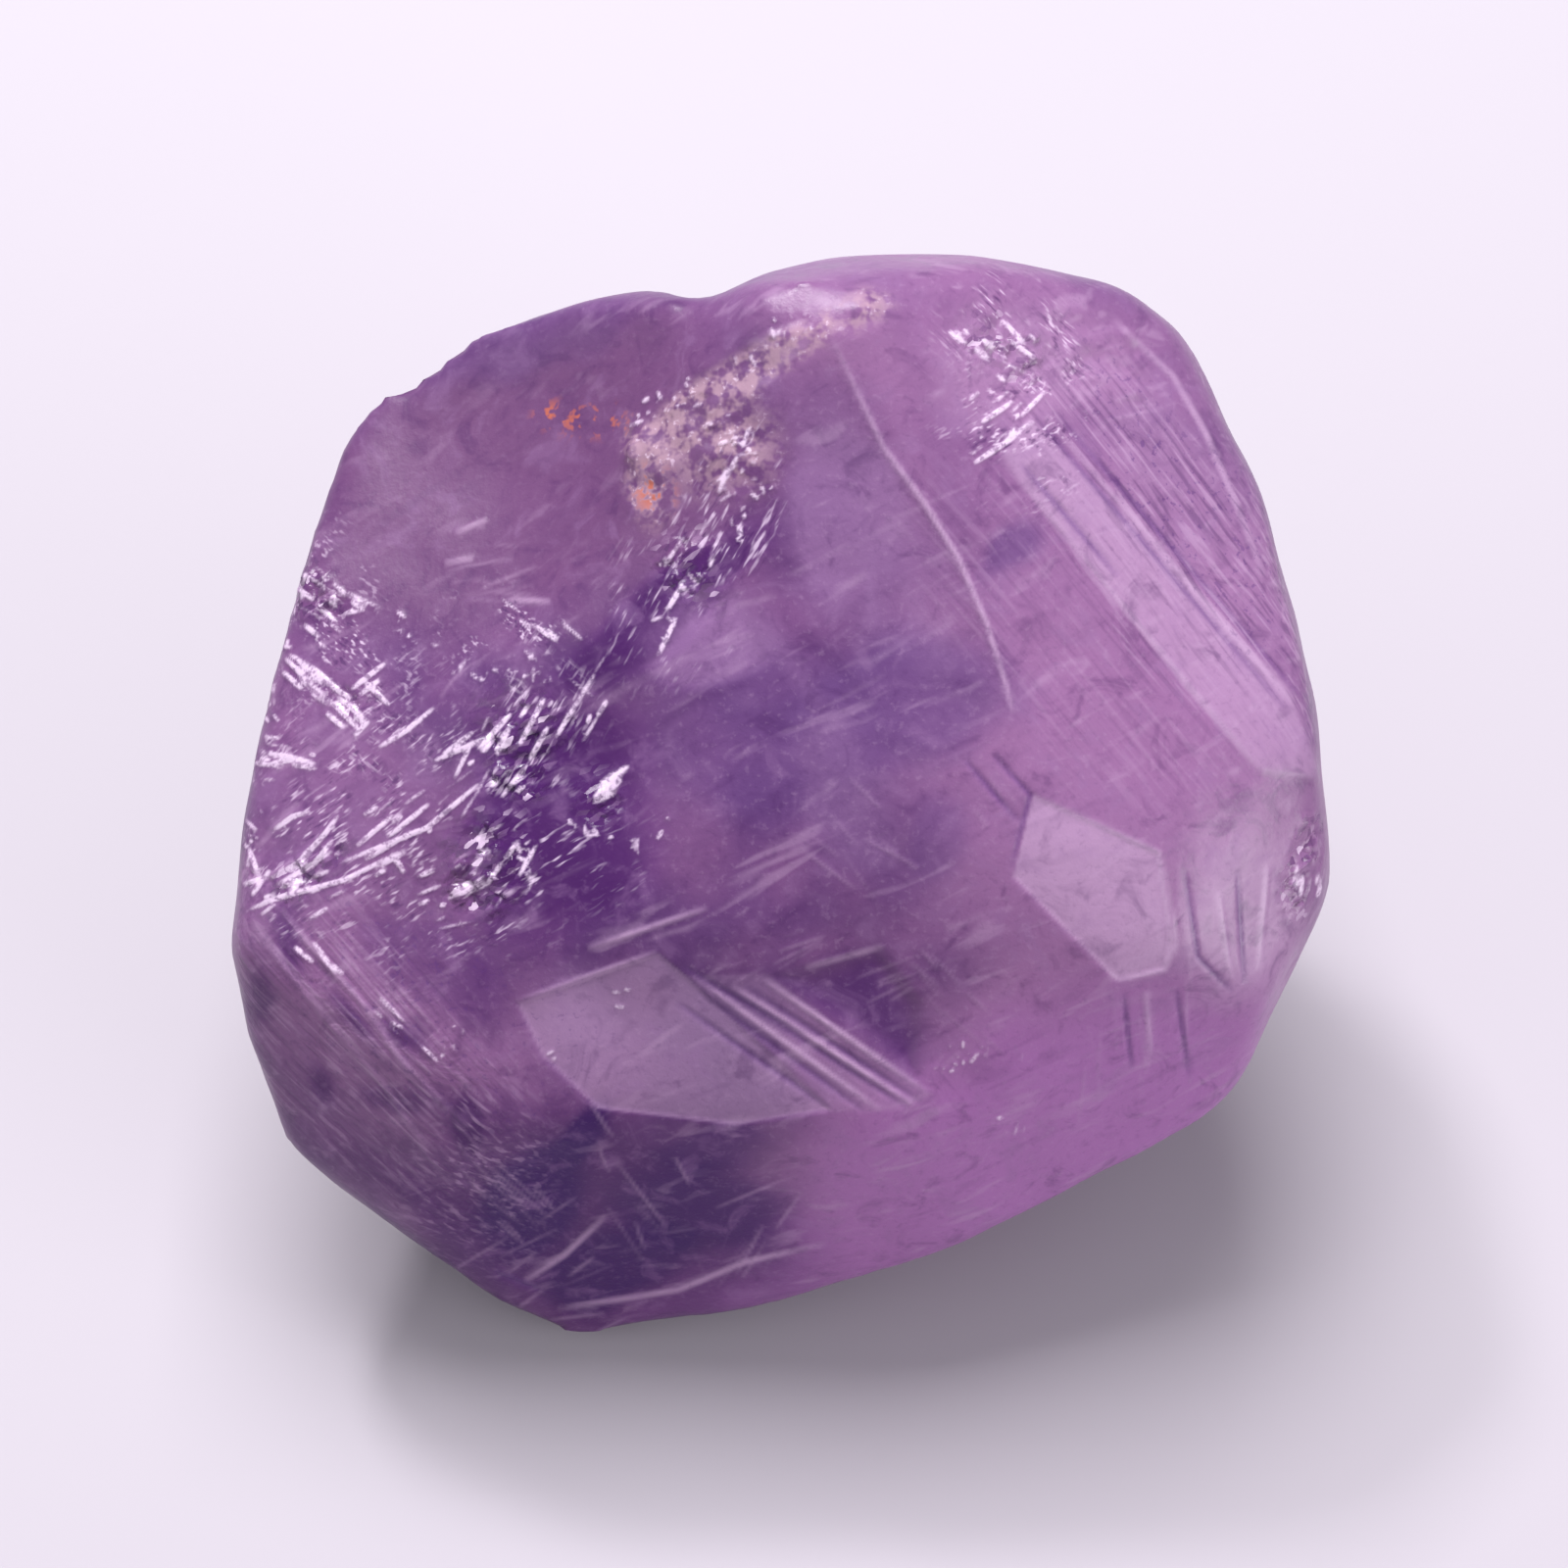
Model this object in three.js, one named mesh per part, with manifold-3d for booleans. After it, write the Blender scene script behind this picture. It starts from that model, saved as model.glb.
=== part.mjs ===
// Rough amethyst: one lump of quartz broken out of a larger crystal mass, lying on its flattest break.
//
// The lump is laid out in the frame of its broad side: x to the right, y up that side and z out of it,
// in millimetres from the middle of the lump. The last step leans the broad side back, so that the lump
// lies on its rest face with +Z up and the origin under the middle of its bounding box.

import * as THREE from "three";
import { ConvexGeometry } from "three/addons/geometries/ConvexGeometry.js";
import { mergeVertices } from "three/addons/utils/BufferGeometryUtils.js";
import Module from "manifold-3d";

const wasm = await Module();
wasm.setup();

// Driving dimensions, in millimetres and degrees
const BLANK = 60; // side of the block that the lump is broken from
const REST_DEPTH = 13; // from the middle of the lump down to its rest face
const REST_LEAN = 30; // how far the broad side leans back from level
const VIOLET = 0x8d63a3;

// Small breaks: splinters torn out of the faces, chips knocked off the rim and pebbles that shape both
const SEED = 11; // start of the row of chances that scatters them
const PEBBLE_CORNERS = 10;
const SPLINTER_SLENDER = 0.16; // width for each millimetre of length
const SPLINTER_EXTRA_WIDTH = [0.25, 0.5];
const SPLINTER_DEPTH = [0.5, 0.9];
const SPLINTER_ROLL = 35;
const SPLINTER_PITCH = 4;
const SPLINTER_STRAY = 8; // how far one splinter's heading strays from its neighbours'
const HIDDEN_HEADING = [20, 60];
const CHIP_SIZE = [1.4, 3];
const CHIP_ALONG_EDGE = [0.1, 0.9]; // share of the way along the rim's edge
const CHIP_SHAPE = [1.4, 1, 1.2]; // length, width and thickness for each millimetre of size
const CHIP_OUTSIDE = 0.36; // how far its middle lies outside the rim for each millimetre of size
const WELD = 1e-4; // corners that lie closer than this are one corner

const { degToRad, seededRandom } = THREE.MathUtils;
const vec = (x, y, z) => new THREE.Vector3(x, y, z);
const random = (low, high) => low + (high - low) * seededRandom();
const anyWay = () => vec(random(-1, 1), random(-1, 1), random(-1, 1));
seededRandom(SEED);

// The turn that takes the broad side's frame to the frame of the resting lump
const lean = new THREE.Quaternion().setFromAxisAngle(vec(1, 0, 0), degToRad(REST_LEAN));

// Solids

function solidOf(geometry) {
  const plain = geometry.clone();
  plain.deleteAttribute("normal");
  plain.deleteAttribute("uv");
  const merged = mergeVertices(plain, WELD);
  return new wasm.Manifold(
    new wasm.Mesh({
      numProp: 3,
      vertProperties: merged.attributes.position.array,
      triVerts: new Uint32Array(merged.index.array),
    }),
  );
}

function geometryOf(solid) {
  const mesh = solid.getMesh();
  const geometry = new THREE.BufferGeometry();
  geometry.setAttribute("position", new THREE.BufferAttribute(mesh.vertProperties, 3));
  geometry.setIndex(new THREE.BufferAttribute(mesh.triVerts, 1));
  const flat = geometry.toNonIndexed();
  flat.computeVertexNormals();
  return flat;
}

// Breaks: a break is a THREE.Plane with the stone behind it

function breakAt(normal, point) {
  return new THREE.Plane().setFromNormalAndCoplanarPoint(normal.normalize(), point);
}

// A break over the broad side, by a point on it and how much it rises for each millimetre right and up
const sloping = ([x, y, z], [right, up]) => breakAt(vec(-right, -up, 1), vec(x, y, z));

// A block of the size of the blank with its lowest side on the break
function offcut(face) {
  const block = new THREE.BoxGeometry(BLANK * 2, BLANK * 2, BLANK * 2).translate(0, 0, BLANK);
  const turn = new THREE.Quaternion().setFromUnitVectors(vec(0, 0, 1), face.normal);
  block.applyQuaternion(turn).translate(...face.coplanarPoint(vec()).toArray());
  return solidOf(block);
}

// The point of a break that lies over x, y of the broad side
function pointOn(face, [x, y]) {
  return vec(x, y, -(face.constant + face.normal.x * x + face.normal.y * y) / face.normal.z);
}

// A frame on a break: its x runs along the heading, its z straight out of the stone
function frameOn(face, at, heading = 0) {
  const towards = vec(Math.cos(degToRad(heading)), Math.sin(degToRad(heading)), 0);
  const across = face.normal.clone().cross(towards).normalize();
  const along = across.clone().cross(face.normal);
  return new THREE.Matrix4().makeBasis(along, across, face.normal).setPosition(pointOn(face, at));
}

// Cutters

// A dish like the inside of a shell: its deepest point at the origin, z out of the stone, with ripples
// that spread from the point where the blow struck
function dish({ radius, span, cells, ripple = 0, wave = 2, struck = [span / 2, 0] }) {
  const block = new THREE.BoxGeometry(span, span, BLANK, cells, cells, 1).translate(0, 0, BLANK / 2);
  const points = block.attributes.position;
  for (let i = 0; i < points.count; i += 1) {
    if (points.getZ(i) < BLANK / 2) {
      const [x, y] = [points.getX(i), points.getY(i)];
      const bowl = radius - Math.sqrt(Math.max(radius ** 2 - x ** 2 - y ** 2, 0));
      const far = Math.hypot(x - struck[0], y - struck[1]);
      points.setZ(i, bowl + ripple * Math.sin((2 * Math.PI * far) / wave));
    }
  }
  return block;
}

// A straight groove between two points of a break: the tilt sets how much steeper one wall is than the
// other, and the pitch lets the groove run out towards one end
function groove({ on, from, to, bite, tilt = 20, pitch = 0 }) {
  const [across, up] = [to[0] - from[0], to[1] - from[1]];
  const middleOf = [(from[0] + to[0]) / 2, (from[1] + to[1]) / 2];
  const side = 6;
  const turn = degToRad(tilt);
  const bar = new THREE.BoxGeometry(Math.hypot(across, up), side, side).rotateX(turn);
  bar.translate(0, 0, (side / 2) * (Math.sin(turn) + Math.cos(turn)) - bite).rotateY(degToRad(pitch));
  return bar.applyMatrix4(frameOn(on, middleOf, THREE.MathUtils.radToDeg(Math.atan2(up, across))));
}

// A pebble with flat sides, used as a chip where it is taken away and as a knob where it is added
function pebble([long, wide, thick]) {
  const half = vec(long, wide, thick).multiplyScalar(0.5);
  const corners = Array.from({ length: PEBBLE_CORNERS }, () => anyWay().normalize().multiply(half));
  return new ConvexGeometry(corners);
}

// A straight sided column over an outline of the broad side
function column(outline) {
  const shape = new THREE.Shape(outline.map(([x, y]) => new THREE.Vector2(x, y)));
  return new THREE.ExtrudeGeometry(shape, { depth: BLANK, bevelEnabled: false });
}

// The breaks that make up the broad side
const flank = sloping([8.7, 0, 12], [-0.28, -0.103]);
const middle = sloping([8.4, 2.8, 12], [0.081, 0.117]);
const striated = sloping([7.9, 11.9, 11], [-0.545, -0.306]);
const brow = sloping([7, 17.3, 10.7], [-0.15, -0.85]);
const pentagon = sloping([9.1, 0.2, 11.87], [-0.1, 0.19]);
const ribbed = sloping([14.1, -2.3, 10.9], [-0.7, 0.19]);
const lowerRight = sloping([12.2, -6.6, 10.27], [-0.371, 0.967]);
const window = sloping([8.4, -2.8, 11.37], [0.04, 0.33]);
const shoulder = sloping([-9.6, -6.4, 9.46], [0.2, 0.12]);
const lowerLeft = sloping([-13, -9.4, 8.3], [0.6, 0.75]);
const toe = sloping([-2, -11.9, 7.95], [0.03, 1.2]);
const hackled = sloping([-7.9, 3.6, 10.77], [0.45, -0.25]);

const frontBreaks = [
  flank, middle, striated, brow, pentagon, ribbed, lowerRight, window, shoulder, lowerLeft, toe, hackled,
];

// The outline of the broad side, clockwise from the upper left: where each edge starts, the height at
// which it is widest, and how far its upper and lower faces lean in from upright.
const rim = [
  { at: [-15.4, 15.1], widest: 2.0, upper: 14, lower: 32 },
  { at: [-12.3, 17.1], widest: 2.4, upper: 10, lower: 36 },
  { at: [-7.0, 18.3], widest: 3.6, upper: 12, lower: 38 },
  { at: [2.9, 19.5], widest: 5.6, upper: 16, lower: 34 },
  { at: [6.2, 19.8], widest: 5.4, upper: 14, lower: 36 },
  { at: [12.1, 18.6], widest: 4.4, upper: 12, lower: 36 },
  { at: [14.5, 16.9], widest: 3.4, upper: 8, lower: 34 },
  { at: [17.6, 10.9], widest: 2.5, upper: 8, lower: 26 },
  { at: [19.4, 3.3], widest: 3.0, upper: 8, lower: 22 },
  { at: [20.0, -3.6], widest: 3.8, upper: 14, lower: 20 },
  { at: [17.3, -9.6], widest: 3.5, upper: 16, lower: 18 },
  { at: [15.9, -12.1], widest: 2.6, upper: 12, lower: 16 },
  { at: [6.7, -16.4], widest: 1.5, upper: 12, lower: 12 },
  { at: [2.3, -18.5], widest: -0.8, upper: 28, lower: 8 },
  { at: [-8.6, -20.6], widest: -2.6, upper: 20, lower: 4 },
  { at: [-9.8, -19.7], widest: -2.0, upper: 20, lower: 8 },
  { at: [-13.0, -17.2], widest: 0.4, upper: 18, lower: 14 },
  { at: [-18.2, -13.2], widest: 1.4, upper: 16, lower: 18 },
  { at: [-19.3, -9.6], widest: 2.6, upper: 14, lower: 22 },
  { at: [-20.1, -5.6], widest: 4.2, upper: 12, lower: 24 },
  { at: [-19.4, -0.6], widest: 4.8, upper: 12, lower: 26 },
  { at: [-18.5, 5.4], widest: 3.6, upper: 12, lower: 28 },
  { at: [-17.3, 10.2], widest: 2.6, upper: 14, lower: 30 },
];

function rimBreaks() {
  return rim.flatMap((edge, i) => {
    const next = rim[(i + 1) % rim.length];
    const start = vec(...edge.at, edge.widest);
    const along = vec(...next.at, next.widest).sub(start).normalize();
    const outward = vec(0, 0, 1).cross(along).normalize();
    const upper = outward.clone().applyAxisAngle(along, degToRad(edge.upper));
    const lower = outward.clone().applyAxisAngle(along, -degToRad(edge.lower));
    return [breakAt(upper, start), breakAt(lower, start)];
  });
}

// The underside, by the direction that each break faces when the lump rests and how far it lies outside
// the widest line of the rim
const underside = [
  { faces: [-0.72, -0.25, -0.6], clear: 1.4 },
  { faces: [-0.6, 0.55, -0.58], clear: 4.6 },
  { faces: [0.05, 0.78, -0.62], clear: 7.4 },
  { faces: [0.7, 0.42, -0.58], clear: 4.8 },
  { faces: [0.76, -0.35, -0.55], clear: 1.6 },
  { faces: [0.2, -0.76, -0.62], clear: 0.6 },
];

function undersideBreaks() {
  const upright = lean.clone().invert();
  const base = vec(0, 0, -1).applyQuaternion(upright);
  const others = underside.map(({ faces, clear }) => {
    const normal = vec(...faces).normalize().applyQuaternion(upright);
    const reach = Math.max(...rim.map(({ at, widest }) => normal.dot(vec(...at, widest))));
    return breakAt(normal, normal.clone().multiplyScalar(reach + clear));
  });
  return [breakAt(base, base.clone().multiplyScalar(REST_DEPTH)), ...others];
}

// The broad hollows, as shells of stone that flew off the broad side
const basin = dish({ radius: 78, span: 34, cells: 26 }).translate(-5, 4, 10.64);
const valley = dish({ radius: 9, span: 9, cells: 14 }).translate(-6.9, 1.0, 9.75);
const shell = dish({ radius: 22, span: 24, cells: 40, ripple: 0.07, wave: 2.2, struck: [-9, 9] });
shell.applyMatrix4(frameOn(hackled, [-9.8, 12.2], 0)).translate(0, 0, -1.6);

// The level window let into its break, the narrow tread above it and the dark corner beside it
const windowFloor = sloping([-4.5, -5.7, 9.35], [0.02, 0.22]);
const windowOutline = [
  [-9.5, -7.4], [-4.5, -5.7], [-3.5, -6.4], [-0.7, -6.4], [5.9, -11.0], [2.6, -12.4], [-1.8, -12.6],
  [-6.5, -11.9], [-7.9, -10.0],
];
const treadFloor = sloping([-4.5, -5.1, 9.92], [0.04, 0.33]);
const treadOutline = [[-8.6, -7.1], [-7.4, -5.7], [-2.7, -4.1], [-2.2, -5.0], [-4.5, -5.7]];
const cornerFloor = sloping([3.4, -5.6, 10.1], [0.12, 0.42]);
const cornerOutline = [[-0.6, -6.3], [3.7, -5.2], [6.6, -10.2], [5.8, -10.8]];

const wedgeFloor = sloping([-8.0, -13.2, 5.7], [-0.35, 0.9]);
const wedgeOutline = [[-9.8, -13.2], [-7.1, -11.7], [-7.4, -14.9]];

const sunk = (outline, floor) => solidOf(column(outline)).intersect(offcut(floor));

// Long straight striations of the crystal, on the breaks that carry them
const striations = [
  { on: striated, from: [9.2, 13.6], to: [18.6, 3.0], bite: 0.32, tilt: 50, pitch: 0.8 },
  { on: striated, from: [9.8, 14.0], to: [19.2, 3.4], bite: 0.24, tilt: 40, pitch: 0.6 },
  { on: striated, from: [8.5, 12.6], to: [14.2, 6.2], bite: 0.14, tilt: 30, pitch: 1 },
  { on: striated, from: [11.0, 14.4], to: [16.4, 8.3], bite: 0.2, tilt: 25, pitch: 1.5 },
  { on: striated, from: [12.2, 14.9], to: [17.0, 9.6], bite: 0.18, tilt: 25, pitch: -1 },
  { on: striated, from: [12.4, 12.0], to: [19.4, 4.2], bite: 0.12, tilt: 30, pitch: -0.6 },
  { on: pentagon, from: [6.6, 1.9], to: [9.0, -0.3], bite: 0.22, tilt: 40 },
  { on: pentagon, from: [6.2, 1.2], to: [8.6, -1.0], bite: 0.18, tilt: 30 },
  { on: ribbed, from: [14.6, -2.2], to: [15.5, -7.6], bite: 0.3, tilt: 40, pitch: -1 },
  { on: ribbed, from: [16.5, -1.4], to: [16.9, -7.4], bite: 0.28, tilt: 35, pitch: -1 },
  { on: ribbed, from: [17.8, -1.2], to: [17.9, -6.6], bite: 0.2, tilt: 30 },
  { on: lowerRight, from: [12.3, -6.6], to: [12.8, -10.6], bite: 0.18, tilt: 25, pitch: 1.5 },
  { on: lowerRight, from: [13.8, -6.2], to: [14.2, -10.2], bite: 0.16, tilt: 25, pitch: 1.5 },
  { on: windowFloor, from: [-4.3, -6.6], to: [2.6, -12.0], bite: 0.34, tilt: 55, pitch: -0.6 },
  { on: windowFloor, from: [-2.6, -6.2], to: [4.4, -11.8], bite: 0.24, tilt: 30, pitch: -0.4 },
  { on: windowFloor, from: [-1.6, -6.0], to: [5.2, -11.4], bite: 0.2, tilt: 40, pitch: -0.4 },
  { on: windowFloor, from: [-0.8, -6.0], to: [6.0, -11.2], bite: 0.16, tilt: 30, pitch: -0.4 },
  { on: lowerLeft, from: [-19.2, -5.2], to: [-9.0, -12.6], bite: 0.34, tilt: 18, pitch: 0.5 },
  { on: lowerLeft, from: [-19.6, -6.2], to: [-10.4, -13.2], bite: 0.3, tilt: 18, pitch: -0.5 },
  { on: lowerLeft, from: [-19.6, -7.6], to: [-11.6, -13.8], bite: 0.36, tilt: 16, pitch: 0.8 },
  { on: lowerLeft, from: [-18.6, -9.8], to: [-12.6, -15.0], bite: 0.3, tilt: 18, pitch: -0.8 },
  { on: lowerLeft, from: [-18.4, -11.4], to: [-13.4, -16.2], bite: 0.3, tilt: 18 },
  { on: toe, from: [-7.4, -12.2], to: [-3.6, -16.4], bite: 0.3, tilt: 25, pitch: 1.5 },
  { on: shoulder, from: [-18.6, -4.4], to: [-13.4, -9.0], bite: 0.3, tilt: 22, pitch: 1.5 },
];

// Splinters torn out where the break ran from crystal to crystal: narrow scars scattered round a place
// of the broad side
const torn = [
  { round: [-16.6, -1.8], reach: [2.6, 0.9], count: 8, heading: 27, long: [4, 7] },
  { round: [-13.6, 0.6], reach: [2.4, 1.2], count: 9, heading: 33, long: [2, 5] },
  { round: [-15.4, 3.4], reach: [2.4, 1.6], count: 7, heading: 38, long: [1.4, 3.4] },
  { round: [-16.4, 5.6], reach: [1.4, 2.0], count: 8, heading: -42, long: [1, 2.2] },
  { round: [-10.2, 2.6], reach: [1.4, 1.4], count: 8, heading: 56, long: [1.4, 3.2] },
  { round: [-6.4, 0.6], reach: [2.6, 3.4], count: 20, heading: 60, long: [0.7, 1.8] },
  { round: [-3.4, 8.4], reach: [1.6, 2.4], count: 10, heading: 64, long: [0.8, 1.8] },
  { round: [8.0, 13.9], reach: [1.3, 1.4], count: 8, heading: 48, long: [1.6, 3.4] },
  { round: [7.6, 18.0], reach: [1.4, 1.0], count: 7, heading: -36, long: [0.9, 2] },
  { round: [12.6, 15.4], reach: [2.6, 1.4], count: 12, heading: 20, long: [0.7, 1.5] },
  { round: [16.2, 9.6], reach: [1.6, 3.0], count: 10, heading: -50, long: [0.6, 1.4] },
  { round: [18.6, -2.8], reach: [0.8, 1.6], count: 8, heading: 50, long: [0.6, 1.3] },
  { round: [-11.6, -2.2], reach: [2.4, 1.6], count: 6, heading: 40, long: [0.8, 2] },
];

// Splinters torn from the hidden sides: the direction from the middle of the resting lump to each place
const hiddenTorn = [
  { towards: [-0.1, 1, 0.1], spread: 0.5, count: 9, long: [2, 6] },
  { towards: [0.9, 0.4, -0.1], spread: 0.4, count: 7, long: [1.5, 4] },
  { towards: [-1, 0.2, 0.0], spread: 0.4, count: 7, long: [1.5, 4] },
  { towards: [0.2, 0.7, -0.8], spread: 0.5, count: 6, long: [2, 5] },
];

// The break that a surface shows to a ray
function shownTo(surface, from, towards) {
  const [hit] = new THREE.Raycaster(from, towards.normalize()).intersectObject(surface);
  return hit && breakAt(hit.face.normal.clone(), hit.point);
}

// A narrow splinter laid into a break at a point, with its length along the heading
function splinter(face, point, heading, length) {
  const width = length * SPLINTER_SLENDER + random(...SPLINTER_EXTRA_WIDTH);
  const shard = pebble([length, width, random(...SPLINTER_DEPTH)]);
  shard.rotateX(degToRad(random(-SPLINTER_ROLL, SPLINTER_ROLL)));
  shard.rotateY(degToRad(random(-SPLINTER_PITCH, SPLINTER_PITCH)));
  shard.rotateZ(degToRad(heading));
  const turn = new THREE.Quaternion().setFromUnitVectors(vec(0, 0, 1), face.normal);
  return shard.applyQuaternion(turn).translate(...point.toArray());
}

function scars(surface) {
  return torn.flatMap(({ round, reach, count, heading, long }) =>
    Array.from({ length: count }, () => {
      const [x, y] = round.map((middleOf, axis) => middleOf + random(-1, 1) * reach[axis]);
      const face = shownTo(surface, vec(x, y, BLANK), vec(0, 0, -1));
      const turned = heading + random(-SPLINTER_STRAY, SPLINTER_STRAY);
      const length = random(...long);
      return face ? [splinter(face, pointOn(face, [x, y]), turned, length)] : [];
    }).flat(),
  );
}

function hiddenScars(surface) {
  const upright = lean.clone().invert();
  return hiddenTorn.flatMap(({ towards, spread, count, long }) =>
    Array.from({ length: count }, () => {
      const aim = vec(...towards).add(anyWay().multiplyScalar(spread));
      const out = aim.normalize().applyQuaternion(upright);
      const from = out.clone().multiplyScalar(BLANK);
      const face = shownTo(surface, from, out.clone().negate());
      const point = new THREE.Ray(from, out.clone().negate()).intersectPlane(face, vec());
      return splinter(face, point, random(...HIDDEN_HEADING), random(...long));
    }),
  );
}

// The rough crust left along the top: small knobs stand on it
const crust = [
  { at: [-4.8, 11.0], size: [3.6, 2.8, 1.5] },
  { at: [-4.0, 13.0], size: [4.4, 3.0, 1.5] },
  { at: [-2.8, 14.6], size: [4.6, 3.0, 1.7] },
  { at: [-1.0, 16.0], size: [4.6, 3.0, 1.8] },
  { at: [0.9, 17.2], size: [3.6, 2.6, 1.0] },
  { at: [-2.4, 12.4], size: [3.2, 2.4, 1.1] },
];

function knobs() {
  return crust.map(({ at, size }) => pebble(size).applyMatrix4(frameOn(hackled, at, 35)));
}

// The notch in the outline between the crust and the smooth shell beside it
const notch = solidOf(column([[-3.7, 18.0], [-3.1, 17.1], [0.8, 19.4], [-3.4, 21]]));

// Small chips knocked off the rim
function chips() {
  return rim.map(({ at, widest }, i) => {
    const next = rim[(i + 1) % rim.length];
    const along = random(...CHIP_ALONG_EDGE);
    const place = vec(...at, widest).lerp(vec(...next.at, next.widest), along);
    const size = random(...CHIP_SIZE);
    const out = vec(place.x, place.y, 0).setLength(size * CHIP_OUTSIDE);
    return pebble(CHIP_SHAPE.map((share) => share * size)).translate(...place.add(out).toArray());
  });
}

// The shells that flew off the hidden sides, by the direction each faces when the lump rests and how
// far its deepest point lies from the middle of the lump
const hiddenShells = [
  { faces: [-0.5, 0.85, 0.05], out: 14.0, radius: 26, struck: [0, 12] },
  { faces: [0.45, 0.88, -0.12], out: 13.9, radius: 30, struck: [-10, 9] },
  { faces: [0.92, -0.05, -0.38], out: 16.2, radius: 24, struck: [10, 5] },
  { faces: [-0.88, -0.05, -0.46], out: 15.8, radius: 22, struck: [-4, 10] },
  { faces: [-0.2, 0.66, -0.72], out: 17.2, radius: 34, struck: [8, 10] },
];

function hiddenDishes() {
  const upright = lean.clone().invert();
  return hiddenShells.map(({ faces, out, radius, struck }) => {
    const normal = vec(...faces).normalize().applyQuaternion(upright);
    const turn = new THREE.Quaternion().setFromUnitVectors(vec(0, 0, 1), normal);
    const hollow = dish({ radius, span: 24, cells: 22, ripple: 0.08, wave: 4.6, struck });
    return hollow.applyQuaternion(turn).translate(...normal.multiplyScalar(out).toArray());
  });
}

// The lump

let lump = solidOf(new THREE.BoxGeometry(BLANK, BLANK, BLANK));
for (const face of [...frontBreaks, ...rimBreaks(), ...undersideBreaks()]) {
  lump = lump.subtract(offcut(face));
}
for (const cutter of [basin, valley, shell, ...hiddenDishes()]) {
  lump = lump.subtract(solidOf(cutter));
}
for (const knob of knobs()) {
  lump = lump.add(solidOf(knob));
}
lump = lump.subtract(notch);
lump = lump.subtract(sunk(windowOutline, windowFloor));
lump = lump.subtract(sunk(treadOutline, treadFloor));
lump = lump.subtract(sunk(cornerOutline, cornerFloor));
lump = lump.subtract(sunk(wedgeOutline, wedgeFloor));
const shown = new THREE.Mesh(geometryOf(lump));
for (const cutter of [...striations.map(groove), ...scars(shown), ...hiddenScars(shown), ...chips()]) {
  lump = lump.subtract(solidOf(cutter));
}

const amethyst = new THREE.Mesh(
  geometryOf(lump),
  new THREE.MeshStandardMaterial({ color: VIOLET, roughness: 0.2, metalness: 0 }),
);
amethyst.name = "amethyst";

const part = new THREE.Group();
part.add(amethyst);
part.quaternion.copy(lean);
part.updateMatrixWorld(true);
const box = new THREE.Box3().setFromObject(part, true);
const foot = box.getCenter(vec()).setZ(box.min.z);
part.position.sub(foot);

export default part;
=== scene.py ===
import math
import random

import bmesh
import bpy
import numpy as np
from mathutils import Matrix, Vector, noise


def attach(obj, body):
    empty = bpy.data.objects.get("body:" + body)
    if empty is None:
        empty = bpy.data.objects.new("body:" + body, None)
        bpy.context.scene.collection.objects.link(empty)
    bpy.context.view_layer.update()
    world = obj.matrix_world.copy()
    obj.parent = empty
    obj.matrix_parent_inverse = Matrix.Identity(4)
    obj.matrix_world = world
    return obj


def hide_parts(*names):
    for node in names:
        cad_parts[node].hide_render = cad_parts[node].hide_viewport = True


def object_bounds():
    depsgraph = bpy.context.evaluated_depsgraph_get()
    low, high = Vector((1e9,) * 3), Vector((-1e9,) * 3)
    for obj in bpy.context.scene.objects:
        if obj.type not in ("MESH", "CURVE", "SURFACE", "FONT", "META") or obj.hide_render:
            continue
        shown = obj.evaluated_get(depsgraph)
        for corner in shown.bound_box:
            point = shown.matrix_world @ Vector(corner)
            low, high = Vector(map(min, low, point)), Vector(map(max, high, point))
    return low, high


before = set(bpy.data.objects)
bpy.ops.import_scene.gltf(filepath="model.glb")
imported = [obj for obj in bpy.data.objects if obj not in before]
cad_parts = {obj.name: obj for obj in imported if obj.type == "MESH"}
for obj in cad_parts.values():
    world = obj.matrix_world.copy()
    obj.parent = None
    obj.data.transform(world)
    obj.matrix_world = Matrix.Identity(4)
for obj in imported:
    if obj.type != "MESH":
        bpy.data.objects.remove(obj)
cad_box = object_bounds()

# Sizes, in metres. The broad side is the face that looks up and towards the camera: places on it are
# in millimetres, x to the right and y up that side, from the middle of the lump, as they look to an
# eye EYE millimetres straight above the point AIM: what stands higher looks a little larger.
MM = 0.001
LEAN = math.radians(30)
MIDDLE = np.array([-0.00006, 0.00119, 0.013])
EYE = 158.0
AIM = (0.06, 0.46, 3.2)
WELD = 0.002 * MM

# The even mesh: its face size all over, which is halved on the broad side and halved again where the
# finest carving goes, and the passes of smoothing that settle the hidden breaks, ease the broad side's
# edges and wear it round. KEPT is how much of each pass is given back where an edge stays keen.
FACE = 0.46 * MM
HIDDEN_PASSES = 4
EASED_PASSES = 12
KEEN_PASSES = 7
KEPT = 0.52
ROUND_PASSES = 45
SETTLE_PASSES = 2

# Headings on the broad side, in degrees from +x towards +y
SPLINTERS = 32
STRIATIONS = -49
LOWER_STRIATIONS = -50


# Reading the stone's surface

def to_side(vectors):
    """Directions turned into the broad side's frame."""
    return vectors @ np.array(Matrix.Rotation(-LEAN, 3, "X")).T


def smooth_step(low, high, values):
    t = np.clip((values - low) / (high - low), 0, 1)
    return t * t * (3 - 2 * t)


class Spot:
    """A soft oval with a ragged edge: its middle, its reach along and across its turn, and its share."""

    def __init__(self, at, reach, turn=0.0, share=1.0, soft=0.35, ragged=1.6, all_round=False):
        self.at = at
        self.reach = reach
        self.turn = turn
        self.share = share
        self.soft = soft
        self.ragged = ragged
        self.all_round = all_round


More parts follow.
